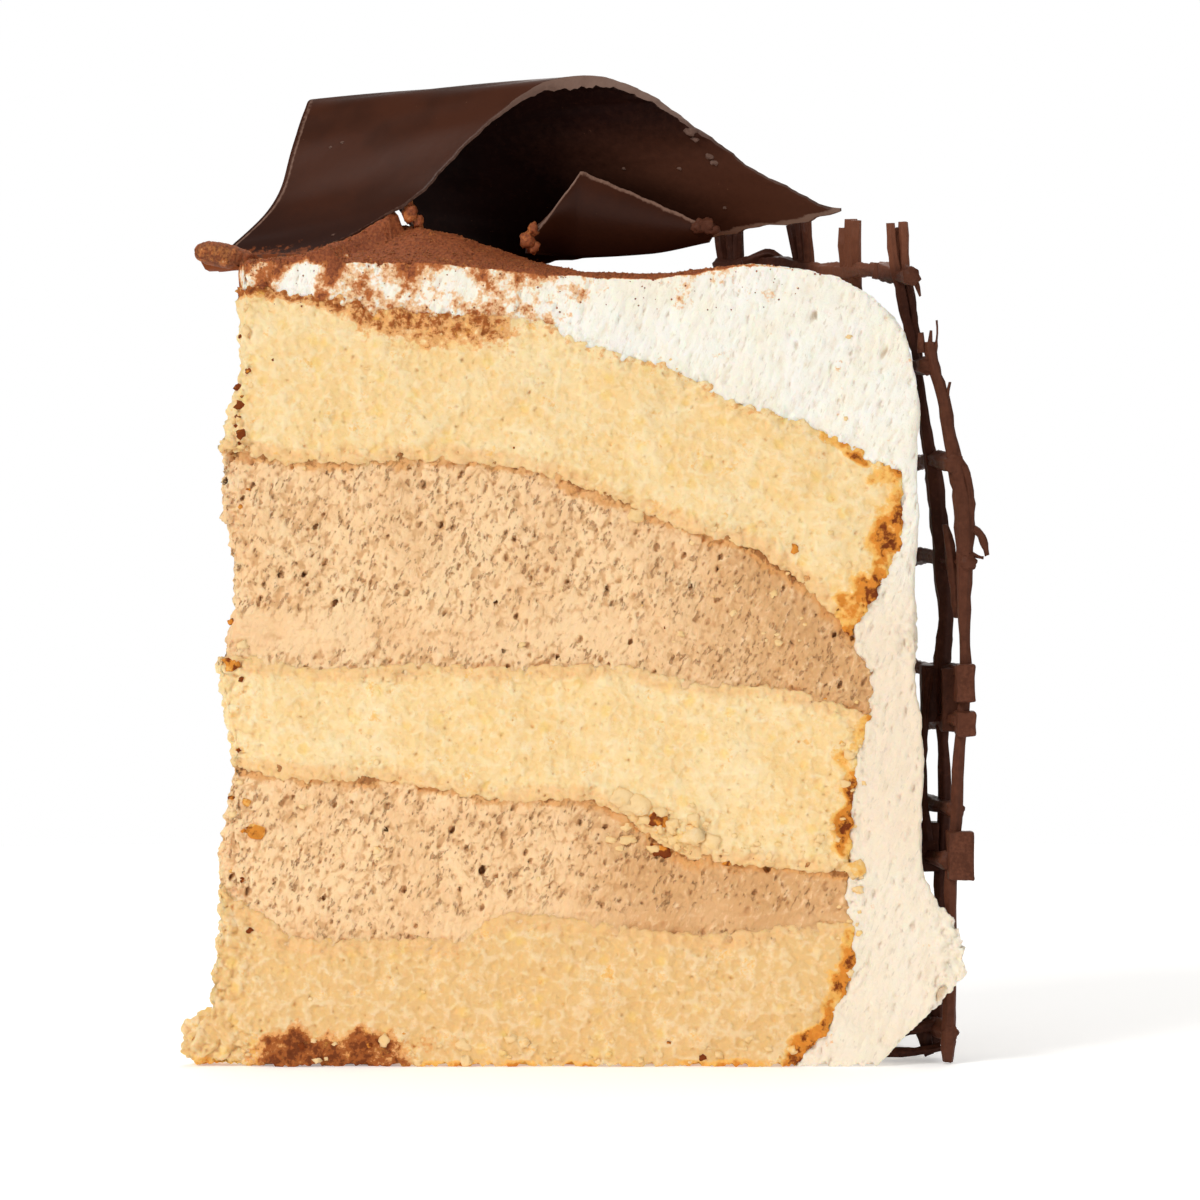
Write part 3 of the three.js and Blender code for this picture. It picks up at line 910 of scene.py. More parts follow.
# %% What the carving remembers
def keep_relief(piece, before, facing, depth):
    """Stores how far each point came out since before (negative: went in), as a share of depth."""
    moved = ((points_of(piece) - before) * facing).sum(1)
    keep_attribute(piece, "relief", moved / depth)


def keep_hollow(piece, before):
    """Stores how deep the pits went at each point: 1 for PORE_DEPTH. The presses are then done."""
    piece.vertex_groups.clear()
    keep_attribute(piece, "hollow", np.linalg.norm(points_of(piece) - before, axis=1) / PORE_DEPTH)


def stay_above_floor(piece):
    """Keeps all points off the floor. Crumbs came off along the cuts, so the lower edge is ragged there."""
    points = points_of(piece)
    worn = np.maximum(under_edge(points[:, 0] / MM), 0)
    worn *= 1 - step_between(0.5 * MM, NEAR_CUT, inside_cuts(points))
    points[:, 2] = np.maximum(points[:, 2], FLOOR_GAP + worn * MM)
    move_points(piece, points)


def mark_borders(piece, node, start):
    """A vertex group for the strip where the piece meets its neighbours on a cut."""
    others = [layer for layer in ALL_LAYERS if layer != node]
    gaps = nearest_gap(start, others, inside_cuts(start) < NEAR_CUT)
    mark(piece, "border", 1 - step_between(1.0 * MM, 2.4 * MM, gaps))


# %% [markdown]
# The carving goes from broad to fine, because a broad press that came later would stretch the fine ones.
# Pores are pressed last and stay sharp. All distances are measured on the net as it was before the
# presses, so that rough places do not blur them.


# %% Carving a sponge
def carve_sponge(node, crusted_from, crust_depth, crust_strength):
    """Carves a sponge from broad to fine, stores its numbers and gives it its place."""
    piece = fine_copy(node, node + "_crumb", growth=0.25 * MM, overlap=1.0 * MM)
    start = points_of(piece)
    out = distance_out(start)
    mark(piece, "tip", 1 - step_between(2 * MM, 9 * MM, out))
    mark_borders(piece, node, start)
    press(piece, crumb_broad, 0.5 * MM)
    press(piece, tip_lumps, 1.9 * MM, where="tip")
    press(piece, sponge_ragged, 1.3 * MM, where="border")
    before, facing = points_of(piece), normals_of(piece)
    press(piece, crumb_cells, 0.4 * MM, middle=0.4)
    press(piece, crumb_fine, 0.38 * MM)
    keep_relief(piece, before, facing, 0.22 * MM)
    before = points_of(piece)
    press(piece, crumb_pores, 0.35 * MM, middle=1.0)
    keep_hollow(piece, before)
    stay_above_floor(piece)
    paint_sponge(piece, node, start, crusted_from, crust_depth, crust_strength)
    return dress(piece, node, "sponge", SPONGE)


# %% [markdown]
# The crust is as deep as the oven browned it: a few millimetres, and uneven. On the top sponge it was
# trimmed off higher up, but for a bit at the upper edge, and cocoa was dragged down from the top. Under
# the tip the bottom sponge is as brown as cocoa. A rule by distance puts all of that in place, and the
# noises in the material make it patchy.

# %% Where the sponge is browned, soaked and dusted
TOP_CRUST = (74.2 * MM, 79.4 * MM)
TOP_SLANT = 7.5 * MM


def paint_sponge(piece, node, start, crusted_from, crust_depth, crust_strength):
    """Stores how browned, soaked and dusted each point of a sponge is."""
    out, height = distance_out(start), start[:, 2]
    near_cuts = inside_cuts(start) < NEAR_CUT
    creams = nearest_gap(start, ["mocha_cream_lower", "mocha_cream_upper"], near_cuts)
    coat_gap = nearest_gap(start, ["whipped_cream"], near_cuts | (out > 66 * MM))
    keep_attribute(piece, "soak", 1 - step_between(0.2 * MM, 2.6 * MM, creams))
    reach = (crust_depth + crust_reach(height / MM)) * MM
    browned = crust_strength * (1 - step_between(0.2, 1.0, coat_gap / reach))
    if node == "sponge_top":
        crusted_from = crusted_from + TOP_SLANT * step_between(56 * MM, 66 * MM, height)
    crust = browned * step_between(crusted_from - 3 * MM, crusted_from, out)
    cocoa = np.zeros(len(start))
    if node == "sponge_bottom":
        under = 1 - step_between(2.8 * MM, 5.4 * MM, height - 0.8 * MM * crust_reach(out / MM))
        along = step_between(3 * MM, 8 * MM, out) * (1 - step_between(20 * MM, 30 * MM, out))
        crust = np.maximum(crust, 0.6 * (1 - step_between(0.2 * MM, 1.4 * MM, height))) * (1 - along)
        cocoa = 1.05 * under * along
    if node == "sponge_top":
        bit = (1 - step_between(0.5 * MM, 1.3 * MM, coat_gap)) * 1.35
        bit *= step_between(TOP_CRUST[0] - 0.8 * MM, TOP_CRUST[0], out)
        bit *= 1 - step_between(TOP_CRUST[1], TOP_CRUST[1] + 0.8 * MM, out)
        crust *= 1 - step_between(71 * MM, 74 * MM, height)
        crust = np.maximum(crust, bit)
        fall = (1.6 + 4.1 * step_between(12 * MM, 25 * MM, out)) * MM
        fade = 1 - step_between(34 * MM, 41 * MM, out)
        cocoa = 0.78 * (1 - step_between(0.2, 1.0, coat_gap / fall)) * fade
        cocoa = np.maximum(cocoa, 0.35 * (1 - step_between(0.2 * MM, 1.0 * MM, coat_gap)))
    keep_attribute(piece, "crust", crust)
    keep_attribute(piece, "cocoa", cocoa)
    keep_attribute(piece, "shade", np.full(len(start), 1.0 if node == "sponge_bottom" else 0.0))


# %% [markdown]
# The three sponges take the same steps. They differ in how far out their crust begins, how many
# millimetres deep it goes and how dark it is.

# %% The three sponges
sponge_bottom = carve_sponge("sponge_bottom", crusted_from=70 * MM, crust_depth=2.5, crust_strength=1.08)
sponge_middle = carve_sponge("sponge_middle", crusted_from=75 * MM, crust_depth=2.2, crust_strength=1.0)
sponge_top = carve_sponge("sponge_top", crusted_from=74 * MM, crust_depth=4.6, crust_strength=1.3)

# %% [markdown]
# ## The two mocha creams
# Mocha cream was torn by the knife in three sizes, and the tears lean to the right. In a band where the
# knife pressed flat the tears are closed, and the cream is smeared lengthwise instead. One empty leans
# the tears and another lays the smears flat. A smooth line for each cream says how strong its smear is
# across the slice.

# %% Textures for torn cream
leaning = empty_for_slant("leaning", 24, 1.7)
lying = empty_for_slant("lying", 86, 6.0)
mocha_broad = cloud_texture("mocha_broad", 4.5 * MM)
mocha_drag = cloud_texture("mocha_drag", 0.9 * MM, 3)
mocha_ragged = cloud_texture("mocha_ragged", 1.9 * MM, 3)
mocha_creases = pit_texture("mocha_creases", 1.2 * MM, 0.02, 0.16, "VORONOI_F2_F1")
mocha_tears = pit_texture("mocha_tears", 0.8 * MM, 0.2, 0.4)
mocha_holes = pit_texture("mocha_holes", 1.6 * MM, 0.16, 0.28)
mocha_caves = pit_texture("mocha_caves", 3.0 * MM, 0.12, 0.22)
smear_lines = cloud_texture("smear_lines", 0.8 * MM, 3)
smear_upper = smooth_line([(-47, 1), (-37, 0.9), (-25, 0.3), (-6, 0.5), (12, 0.2), (38, 0.1)])
smear_lower = smooth_line([(-47, 0.2), (-28, 0.2), (-14, 0.7), (10, 0.85), (38, 0.85)])
smear_wander = ripple(34, (21, 0.7), (9, 0.4))
print(len(bpy.data.textures), "textures with those for torn cream")

# %% [markdown]
# The same carving as for sponge, with tears in place of pores. A place is either torn or smeared, so two
# vertex groups share the cut face between the presses. The cream is darker under the sponge above it and
# towards the rim.


# %% Carving a mocha cream
def carve_mocha(node, smear_height, smear_width, smear_share, sponge_above, far_from, far_to):
    """Carves a mocha cream with a flat smear at one height, whose strength changes across the slice."""
    piece = fine_copy(node, node + "_whipped", growth=0.25 * MM, overlap=1.0 * MM)
    start = points_of(piece)
    out = distance_out(start)
    level = smear_height + smear_wander(start[:, 0] / MM) * MM
    smear = 1 - step_between(smear_width * 0.3, smear_width, np.abs(start[:, 2] - level))
    smear *= smear_share(start[:, 0] / MM)
    mark(piece, "tip", 1 - step_between(2 * MM, 8 * MM, out))
    mark(piece, "smear", smear)
    mark(piece, "torn", 1 - 0.8 * smear)
    mark_borders(piece, node, start)
    press(piece, mocha_broad, 0.5 * MM)
    press(piece, tip_lumps, 1.4 * MM, where="tip")
    press(piece, mocha_ragged, 1.4 * MM, where="border")
    before, facing = points_of(piece), normals_of(piece)
    press(piece, mocha_drag, 0.5 * MM, where="torn", turned_by=leaning)
    press(piece, mocha_creases, 0.16 * MM, where="torn", middle=1.0, turned_by=leaning)
    press(piece, smear_lines, 0.4 * MM, where="smear", turned_by=lying)
    keep_relief(piece, before, facing, 0.22 * MM)
    before = points_of(piece)
    press(piece, mocha_tears, 0.35 * MM, where="torn", middle=1.0, turned_by=leaning)
    press(piece, mocha_holes, 0.6 * MM, where="torn", middle=1.0, turned_by=leaning)
    press(piece, mocha_caves, 0.9 * MM, where="torn", middle=1.0, turned_by=leaning)
    keep_hollow(piece, before)
    near_cuts = inside_cuts(start) < NEAR_CUT
    above = nearest_gap(start, [sponge_above], near_cuts)
    keep_attribute(piece, "soak", 1.05 * (1 - step_between(0.2 * MM, 3.4 * MM, above)))
    keep_attribute(piece, "smear", smear)
    keep_attribute(piece, "far", 0.85 * step_between(far_from, far_to, out))
    return dress(piece, node, "mocha_cream", MOCHA)


# %% [markdown]
# The lower band of smears is narrow and lies to the right. The upper one is wider and strongest at the
# tip. Both creams take the same steps, so only their numbers are given here.

# %% The two mocha creams
mocha_lower = carve_mocha(
    "mocha_cream_lower",
    smear_height=17.7 * MM,
    smear_width=2.2 * MM,
    smear_share=smear_lower,
    sponge_above="sponge_middle",
    far_from=36 * MM,
    far_to=58 * MM,
)
mocha_upper = carve_mocha(
    "mocha_cream_upper",
    smear_height=52.5 * MM,
    smear_width=3.4 * MM,
    smear_share=smear_upper,
    sponge_above="sponge_top",
    far_from=48 * MM,
    far_to=72 * MM,
)

# %% [markdown]
# ## The whipped cream coat
# One piece of cream covers the top and the rim. Its pores are drawn into thin steep tears. On the top
# lies the cocoa, thickest on the mound under the chocolate, and its grain is pressed in as well. The
# cream is smoother than the layers, so its net can be a little coarser.

# %% Textures for the coat
steep = empty_for_slant("steep", 20, 3.2)
cream_broad = cloud_texture("cream_broad", 6 * MM)
cream_drag = cloud_texture("cream_drag", 0.8 * MM, 3)
cream_ragged = cloud_texture("cream_ragged", 1.2 * MM, 3)
cream_tears = pit_texture("cream_tears", 0.9 * MM, 0.22, 0.36)
cream_holes = pit_texture("cream_holes", 3.2 * MM, 0.14, 0.24)
cocoa_grain = cloud_texture("cocoa_grain", 0.8 * MM, 3)
print(len(bpy.data.textures), "textures with those for the coat")

# %% [markdown]
# At the left the chocolate sheet stands on the cream. Both are uneven, so a gap would show between them.
# One ray goes up to the sheet and one down to the cream. Where the gap between them is small, the cream
# is raised by it. Moving the sheet down would close the gap too, but it would then leave its place.

# %% The coat reaches up to the sheet
SHEET_FRONT = -22
MEETS_BELOW, MEETS_NOT = 2.2, 3.2
HIGH_ABOVE = 200 * MM


def lift_to_sheet(piece):
    """The sheet stands on the cream at the left: the cream is raised to it where the gap is small."""
    sheet_tree = surface_tree(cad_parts["chocolate_sheet"])
    cream_tree = surface_tree(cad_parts["whipped_cream"])
    points = points_of(piece)
    for i in np.nonzero((points[:, 2] > 92 * MM) & (points[:, 0] < -20 * MM))[0]:
        x, y, z = points[i]
        from_below = Vector((x, max(y, (SHEET_FRONT + 0.6) * MM), 90 * MM))
        from_above = Vector((x, max(y, CUT_FACE_Y + 0.3 * MM), HIGH_ABOVE))
        under = sheet_tree.ray_cast(from_below, Vector((0, 0, 1)))[0]
        top = cream_tree.ray_cast(from_above, Vector((0, 0, -1)))[0]
        if under is None or top is None or under.z < top.z:
            continue
        gap = under.z - top.z
        share = 1 - step_between(MEETS_BELOW * MM, MEETS_NOT * MM, gap)
        points[i, 2] += gap * share * step_between(92 * MM, 96 * MM, z)
    move_points(piece, points)


# %% [markdown]
# The bulge at the foot of the rim and a small poke at mid height are rougher than the rest, as the
# strands of the lattice pulled at them. So the ragged press works there once more. Then the coat is
# carved from broad to fine, as the layers are.

# %% Carving the coat
coat = fine_copy("whipped_cream", "whipped_cream_coat", growth=0.2 * MM, net=0.5 * MM, outer_skin=1.2 * MM)
lift_to_sheet(coat)
start, facing = points_of(coat), normals_of(coat)
out = distance_out(start)
top = step_between(0.25, 0.7, facing[:, 2]) * step_between(90 * MM, 92 * MM, start[:, 2])
off_bulge = np.abs(start[:, 2] - 15 * MM)
crest = step_between(38 * MM, 42 * MM, start[:, 0]) * (1 - step_between(5 * MM, 9 * MM, off_bulge))
off_poke = np.abs(start[:, 2] - 51 * MM)
pokes = step_between(33 * MM, 37 * MM, start[:, 0]) * (1 - step_between(2 * MM, 5 * MM, off_poke))
mark(coat, "top", top)
mark(coat, "rough", np.maximum(crest, pokes))
mark_borders(coat, "whipped_cream", start)
press(coat, cream_broad, 0.6 * MM)
press(coat, cream_ragged, 1.0 * MM, where="border")
press(coat, cream_ragged, 1.8 * MM, where="rough")
before, turned = points_of(coat), normals_of(coat)
press(coat, cream_drag, 0.4 * MM, turned_by=steep)
press(coat, cocoa_grain, 0.4 * MM, where="top")
keep_relief(coat, before, turned, 0.2 * MM)
before = points_of(coat)
press(coat, cream_tears, 0.3 * MM, middle=1.0, turned_by=steep)
press(coat, cream_holes, 0.5 * MM, middle=1.0, turned_by=steep)
keep_hollow(coat, before)
stay_above_floor(coat)

# %% [markdown]
# The cocoa lies on the top. Its front edge was dragged a little way down the cut, so it is dense there,
# and turns into patches below. Towards the rim it thins out. Near the tip three strokes of the knife lean
# across it: two left cocoa and the wide one between them wiped it off. It could be painted by hand, but a
# rule by place needs no picture and follows the shape wherever that changes.

# %% Where the cocoa is
KNIFE_STROKES = [(-39.8, 1.7, 0.35), (-35.8, 2.6, -0.4), (-32.2, 1.3, 0.35)]
STROKE_LEAN = 0.5
below_top = 97 * MM - start[:, 2] - 1.6 * MM * step_between(34 * MM, 52 * MM, out)
raised = step_between(97 * MM, 97.8 * MM, start[:, 2]) * (1 - step_between(-24 * MM, -18 * MM, start[:, 0]))
dusted = np.maximum(top * (1 - 0.85 * step_between(54 * MM, 74 * MM, out)), raised)
fall = 1 - step_between(0.5 * MM, 6.5 * MM, below_top)
near_tip = 1 - step_between(36 * MM, 50 * MM, out)
on_cut_face = 1 - step_between(0.3 * MM, 1.6 * MM, inside_cuts(start))
at_cut = 0.2 * fall + 0.4 * near_tip
for middle, half_width, strength in KNIFE_STROKES:
    aside = np.abs(start[:, 0] / MM - STROKE_LEAN * (start[:, 2] / MM - 95) - middle)
    at_cut += strength * (1 - step_between(0.4, 1.0, aside / half_width)) * (start[:, 1] < 0)
at_cut *= on_cut_face * (1 - step_between(60 * MM, 76 * MM, out))
upper_edge = on_cut_face * (1 - step_between(-0.2 * MM, 1.4 * MM, below_top))
upper_edge *= 1 - step_between(46 * MM, 70 * MM, out)
cocoa = np.maximum.reduce([1.2 * dusted, at_cut, 1.1 * upper_edge])
print("share of the coat's points with cocoa:", round(float((cocoa > 0.5).mean()), 2))

# %% [markdown]
# Low on the slice the cream is a little darker and warmer, as less light gets there. "low" tells the
# material where. Light alone would do it too, but would darken the sponges as well.

# %% What the cream stores
shaded = 0.95 * (1 - step_between(46 * MM, 74 * MM, start[:, 2]))
shaded -= 0.3 * (1 - step_between(18 * MM, 30 * MM, start[:, 2]))
keep_attribute(coat, "low", shaded)
keep_attribute(coat, "cocoa", cocoa * step_between(84 * MM, 88 * MM, start[:, 2]))
dress(coat, "whipped_cream", "whipped_cream", CREAM)

# %% [markdown]
# ## The chocolate sheet
# Tempered chocolate was spread on a sheet of plastic, bent into a wave while soft, and set. So it is a
# ruled form: the same wave repeated along a ridge that runs to the back left. Two lines describe it: the
# height of the wave across the slice, and how far the sheet runs back from there.

# %% The wave, in millimetres
wave = smooth_line(
    [(-47.4, 98.9), (-45.6, 99.1), (-43, 97.95), (-36.5, 98.1), (-29.9, 100.7), (-22.4, 105.3)]
    + [(-13.4, 114.3), (-6.1, 119.1), (-1.5, 119.8), (4.9, 118), (12.2, 113.1), (19.4, 108)]
    + [(29.8, 102.8), (38, 98.8)]
)
run_back = smooth_line(
    [(-47.4, 1.6), (-43, 5), (-36.5, 11.4), (-29.9, 16.2), (-20.2, 21.2), (-11.5, 28.4), (-2.4, 36.3)]
    + [(8, 41.5), (20, 50), (30, 57), (35.4, 60.2), (37.2, 59.6), (38, 57.4)]
)
SHEET_LEFT, SHEET_RIGHT, SHEET_RIGHT_GROWTH = -47.4, 29.8, 8.2
SHEET_TURN = math.radians(24)
SHEET_DROP = 0.0275
steps = np.linspace(SHEET_LEFT, SHEET_RIGHT, 400)
print("the wave laid flat:", round(float(np.hypot(np.diff(steps), np.diff(wave(steps))).sum()), 1), "mm")

# %% [markdown]
# A flat grid is laid on that form. A plane could also be bent by a modifier, but this wave is not a part
# of a circle, and with the grid each point knows how far across and how far back it is. The edges wander
# a little, the right lip turns up, and the sheet sinks towards the back.


# %% A grid laid on the wave
def unit_grid(name, columns, rows):
    """A flat grid; its points come back as the shares across and back, each from 0 to 1."""
    bpy.ops.object.select_all(action="DESELECT")
    bpy.ops.mesh.primitive_grid_add(x_subdivisions=columns, y_subdivisions=rows, size=1)
    piece = bpy.context.object
    piece.name = name
    piece.data.name = name
    shares = points_of(piece)[:, :2] + 0.5
    return piece, shares[:, 0], shares[:, 1]


sheet, across_share, back_share = unit_grid("chocolate_sheet_wave", 170, 80)
right = SHEET_RIGHT + SHEET_RIGHT_GROWTH * back_share
across = SHEET_LEFT + (right - SHEET_LEFT) * across_share
front_edge = ripple(3, (9, 0.12), (3.1, 0.1), (1.3, 0.06))
back_edge = ripple(4, (17, 0.12), (6, 0.05))
length_back = run_back(across)
run = length_back * back_share + front_edge(across) * (1 - back_share) ** 8
run += back_edge(across) * back_share**8 * step_between(4, 10, length_back)
side_edge = ripple(5, (11, 0.3), (3.7, 0.15))
slip = side_edge(run) * across_share**12
from_right = right - across
turned_up = 0.6 * np.clip(1 - from_right / 2.4, 0, 1) ** 2
height = wave(across + slip) - SHEET_DROP * run + turned_up + 0.05 * np.sin(across * 0.9 + run * 0.35)
sheet_points = np.stack(
    [across + slip - run * math.cos(SHEET_TURN), SHEET_FRONT + run * math.sin(SHEET_TURN), height], axis=1
)
move_points(sheet, sheet_points * MM)
print("the sheet runs back by up to", round(float(run.max()), 1), "mm")

# %% [markdown]
# The chocolate ran together before it set, so the sheet is thick at its left foot and at the crest, and
# thin between them. The Solidify modifier can follow a vertex group, so the thickness is stored as a
# share of the thickest place. Small chips are missing along the front edge.

# %% How thick the sheet is
thickness = smooth_line(
    [(-47.4, 0.7), (-46.9, 1.35), (-46, 1.8), (-44.6, 2), (-43, 1.85), (-41, 1.3), (-38, 0.8), (-30, 0.45)]
    + [(-14, 0.5), (-8, 1.15), (-3, 1.5), (6, 1.35), (12, 1.0), (16, 0.55), (30, 0.5), (38, 0.6)]
)
chipped = ripple(6, (2.3, 0.09), (1.1, 0.08))
THICKEST = 2.0
chips = chipped(across) * (1 - step_between(0.3, 1.5, run))
mark(sheet, "thickness", thickness(across) * (1 + chips) / THICKEST)
print("thinnest place of the sheet:", round(float(thickness(across).min()), 2), "mm")

# %% [markdown]
# The back edge and the front edge were scraped, and cocoa lies on the low parts. A strip along the right
# lip gets the scraped colour as a painted reflection. The shares across and back say where all that is,
# long before the sheet has a thickness. The modifiers then carry the numbers over to the new faces.

# %% Scraped, dusted and paler places
from_back_edge = length_back * (1 - back_share)
scraped = step_between(0.2, 0.5, from_back_edge) * (1 - step_between(0.6, 1.0, from_back_edge))
from_front = length_back * back_share
nick = (1 - step_between(0.1, 0.4, from_front)) * 0.45 * (1 - step_between(9, 14, across))
# A strip along the right lip: a painted reflection in the scraped colour.
lip_sheen = 0.95 * step_between(0.1, 0.4, from_right) * (1 - step_between(1.0, 1.9, from_right))
lip_sheen *= 1 - step_between(30, 48, run)
foot = 1 - step_between(-42.4, -39.4, across)
dusty = 0.6 * (1 - step_between(98.0, 101.2, height))
scraped *= 0.75 * step_between(3, 8, length_back)
keep_attribute(sheet, "broken", np.maximum.reduce([scraped, nick, lip_sheen]))
keep_attribute(sheet, "cocoa", np.maximum(0.8 * foot, dusty))
# The rim is paler ("pale"), most along the crest: partly the dull broken edge, partly painted light.
pale = 0.4 + 0.6 * step_between(-18, -9, across) - 0.75 * step_between(7, 15, across)
keep_attribute(sheet, "pale", pale)
keep_attribute(sheet, "lit", (1 - step_between(6, 30, run)) * step_between(7, 19, across))
keep_attribute(sheet, "deep", 1 - step_between(99, 108, height))

# %% [markdown]
# Solidify gives the outer side, the inner side and the rim a material each. A small bevel then takes the
# sharpness off the edges, as breaking and handling did.

# %% Thickness and broken rim
for material in (SHEET_CHOCOLATE, RIM_CHOCOLATE, SHADED_INNER_CHOCOLATE):
    sheet.data.materials.append(material)
modifier = sheet.modifiers.new("thickness", "SOLIDIFY")
modifier.thickness = THICKEST * MM
modifier.vertex_group = "thickness"
modifier.offset = -1
modifier.use_even_offset = True
modifier.material_offset = 2
modifier.material_offset_rim = 1
apply_last_modifier(sheet)
modifier = sheet.modifiers.new("worn_edges", "BEVEL")
modifier.width = 0.12 * MM
modifier.segments = 2
modifier.limit_method = "ANGLE"
modifier.angle_limit = math.radians(50)
apply_last_modifier(sheet)
smooth_shading(sheet)
sheet.vertex_groups.clear()
dress(sheet, "chocolate_sheet", "chocolate")

# %% [markdown]
# ## The shard
# A broken triangle of the same chocolate leans inside the arch. An outline could be filled with a single
# face, but the shard is bent, and its worn edges need points. So it is a small grid between a foot and a
# lip, leaning back on its left.

# %% The form of the shard
shard_foot = smooth_line([(-9.2, 98.8), (-1.6, 98.1), (6, 98.4), (13.4, 99.7)])
SHARD_LIP = [(-9.2, 99.9), (-3.1, 108.3), (4, 105.3), (13.4, 101.1)]
SHARD_LEFT, SHARD_RIGHT = -9.2, 13.4
SHARD_LIP_Y = -20.5
SHARD_LEAN = 6

shard, along, up = unit_grid("chocolate_shard_broken", 60, 26)
x = SHARD_LEFT + (SHARD_RIGHT - SHARD_LEFT) * along
lip_x, lip_z = np.array(SHARD_LIP).T
lip = np.interp(x, lip_x, lip_z) + ripple(8, (2.9, 0.06), (0.9, 0.03))(x)
foot_z = shard_foot(x)
lean = SHARD_LEAN * (1 - up) ** 2 * (1 - 0.75 * along)
shard_points = np.stack([x + 0.8 * up, SHARD_LIP_Y + lean, foot_z + (lip - foot_z) * up], axis=1)
move_points(shard, shard_points * MM)
print("the shard is up to", round(float((lip - foot_z).max()), 1), "mm high")

# %% [markdown]
# Its broken edges are paler, and cocoa clings to its left one. Solidify adds the thickness behind the
# side that shows. The grid gets narrow at both ends, so points that fall together are merged, and the
# shell stays closed.

# %% Edges, thickness and finish of the shard
edge_gap = np.minimum((1 - up) * np.maximum(lip - foot_z, 0.2), (x - SHARD_LEFT) * 0.8)
keep_attribute(shard, "broken", 0.8 * (1 - step_between(0.15, 0.75, edge_gap)))
keep_attribute(shard, "cocoa", 0.62 * (1 - step_between(0.3, 1.6, (x - SHARD_LEFT))))
keep_attribute(shard, "pale", np.full(len(x), 0.6))
# Darker towards the foot ("deep"): painted shade, where the shard's face turns down.
keep_attribute(shard, "deep", 1 - 0.7 * up)
for material in (SHEET_CHOCOLATE, RIM_CHOCOLATE):
    shard.data.materials.append(material)
modifier = shard.modifiers.new("thickness", "SOLIDIFY")
modifier.thickness = 1.0 * MM
modifier.offset = -1
modifier.use_even_offset = True
modifier.material_offset_rim = 1
apply_last_modifier(shard)
select_only(shard)
bpy.ops.object.mode_set(mode="EDIT")
bpy.ops.mesh.select_all(action="SELECT")
bpy.ops.mesh.remove_doubles(threshold=0.01 * MM)
bpy.ops.mesh.normals_make_consistent(inside=False)
bpy.ops.object.mode_set(mode="OBJECT")
smooth_shading(shard)
dress(shard, "chocolate_shard", "chocolate")

# %% [markdown]
# ## The piped lattice
# Chocolate was piped on a strip of film and wrapped round the rim, so it is uprights crossed by rings,
# and it broke where the knife went through. A place on it is told by how far round the cake it is and how
# high, and one smooth line says how far out the film stood at each height. The broken end stands out a
# little more.

# %% Where the lattice runs, in millimetres
LATTICE_START, LATTICE_END = 1.4, 41.3
LATTICE_RISE = 0.15
END_FLARE, END_FLARE_DEG = 1.7, 5
lattice_out = smooth_line(
    [(0, 88.6), (12, 88.2), (22, 88.4), (32, 88.8), (42, 89.7), (52, 90.3), (64, 90.2), (71, 89.2)]
    + [(80, 87.2), (87, 86.2), (95, 85.1), (106, 83.9)]
)


def round_the_rim(out, degrees, height):
    """The place so far out from the tip, so far round from the shown cut face, and so high."""
    turn = math.radians(degrees)
    x = APEX[0] / MM + out * math.cos(turn)
    y = APEX[1] / MM + out * math.sin(turn)
    return Vector((x, y, height)) * MM


def lattice_point(degrees, height, wander, aside=0.0, further=0.0):
    """A place on the lattice. wander makes each strand uneven; aside and further move it in millimetres."""
    flare = END_FLARE * (1 - step_between(0, 1, (degrees - LATTICE_START) / END_FLARE_DEG))
    flare *= step_between(0, 1, (96 - height) / 20) * step_between(0, 1, (height + 12) / 20)
    out = lattice_out(height) + flare + 0.25 * math.sin(wander + height * 0.31 + degrees * 0.2)
    bend = 0.35 * math.sin(wander * 2 + height * 0.17)
    return round_the_rim(out + further, degrees + bend + math.degrees(aside / out), height)


# %% [markdown]
# A piped strand is ribbed along its length by the nozzle. A round tube with a bump in its material would
# be smooth where its outline shows. So a small ribbed outline is drawn once, and a curve sweeps it along
# each strand.

# %% A ribbed outline
RIBS = 6
OUTLINE_POINTS = 24
TWIST = 0.05

bpy.ops.curve.primitive_bezier_circle_add(radius=1 * MM)
ribbed_outline = bpy.context.object
ribbed_outline.name = "ribbed_outline"
ribbed_outline.data.splines.clear()
outline = ribbed_outline.data.splines.new("POLY")
outline.points.add(OUTLINE_POINTS - 1)
outline.use_cyclic_u = True
for n, point in enumerate(outline.points):
    turn = 2 * math.pi * n / OUTLINE_POINTS
    reach = (0.93 + 0.1 * math.cos(RIBS * turn)) * MM
    point.co = (reach * math.cos(turn), reach * math.sin(turn), 0, 1)
print("outline of", len(outline.points), "points")

# %% [markdown]
# Each strand is a curve through a few places. It is shaken a little, as a hand does, thicker and thinner
# from point to point, and turned as it goes. It then becomes a mesh, so that it can be joined with
# others.


# %% A strand swept from it
def pipe(name, places_on_it, sizes, seed):
    """A strand through the places, with its half width in millimetres at each of them."""
    spread = random.Random(seed)
    path = bpy.data.curves.new(name, "CURVE")
    path.dimensions = "3D"
    path.resolution_u = 3
    path.bevel_mode = "OBJECT"
    path.bevel_object = ribbed_outline
    path.use_fill_caps = True
    spline = path.splines.new("NURBS")
    spline.points.add(len(places_on_it) - 1)
    spline.use_endpoint_u = True
    spline.order_u = 3
    start_turn = spread.uniform(0, 6.28)
    for n, (point, place, size) in enumerate(zip(spline.points, places_on_it, sizes)):
        shake = Vector((spread.uniform(-1, 1), spread.uniform(-1, 1), spread.uniform(-1, 1))) * 0.05 * MM
        point.co = (*(place + shake), 1)
        point.radius = size * spread.uniform(0.92, 1.08)
        point.tilt = start_turn + TWIST * n
    strand = bpy.data.objects.new(name, path)
    bpy.context.scene.collection.objects.link(strand)
    select_only(strand)
    bpy.ops.object.convert(target="MESH")
    return bpy.context.object


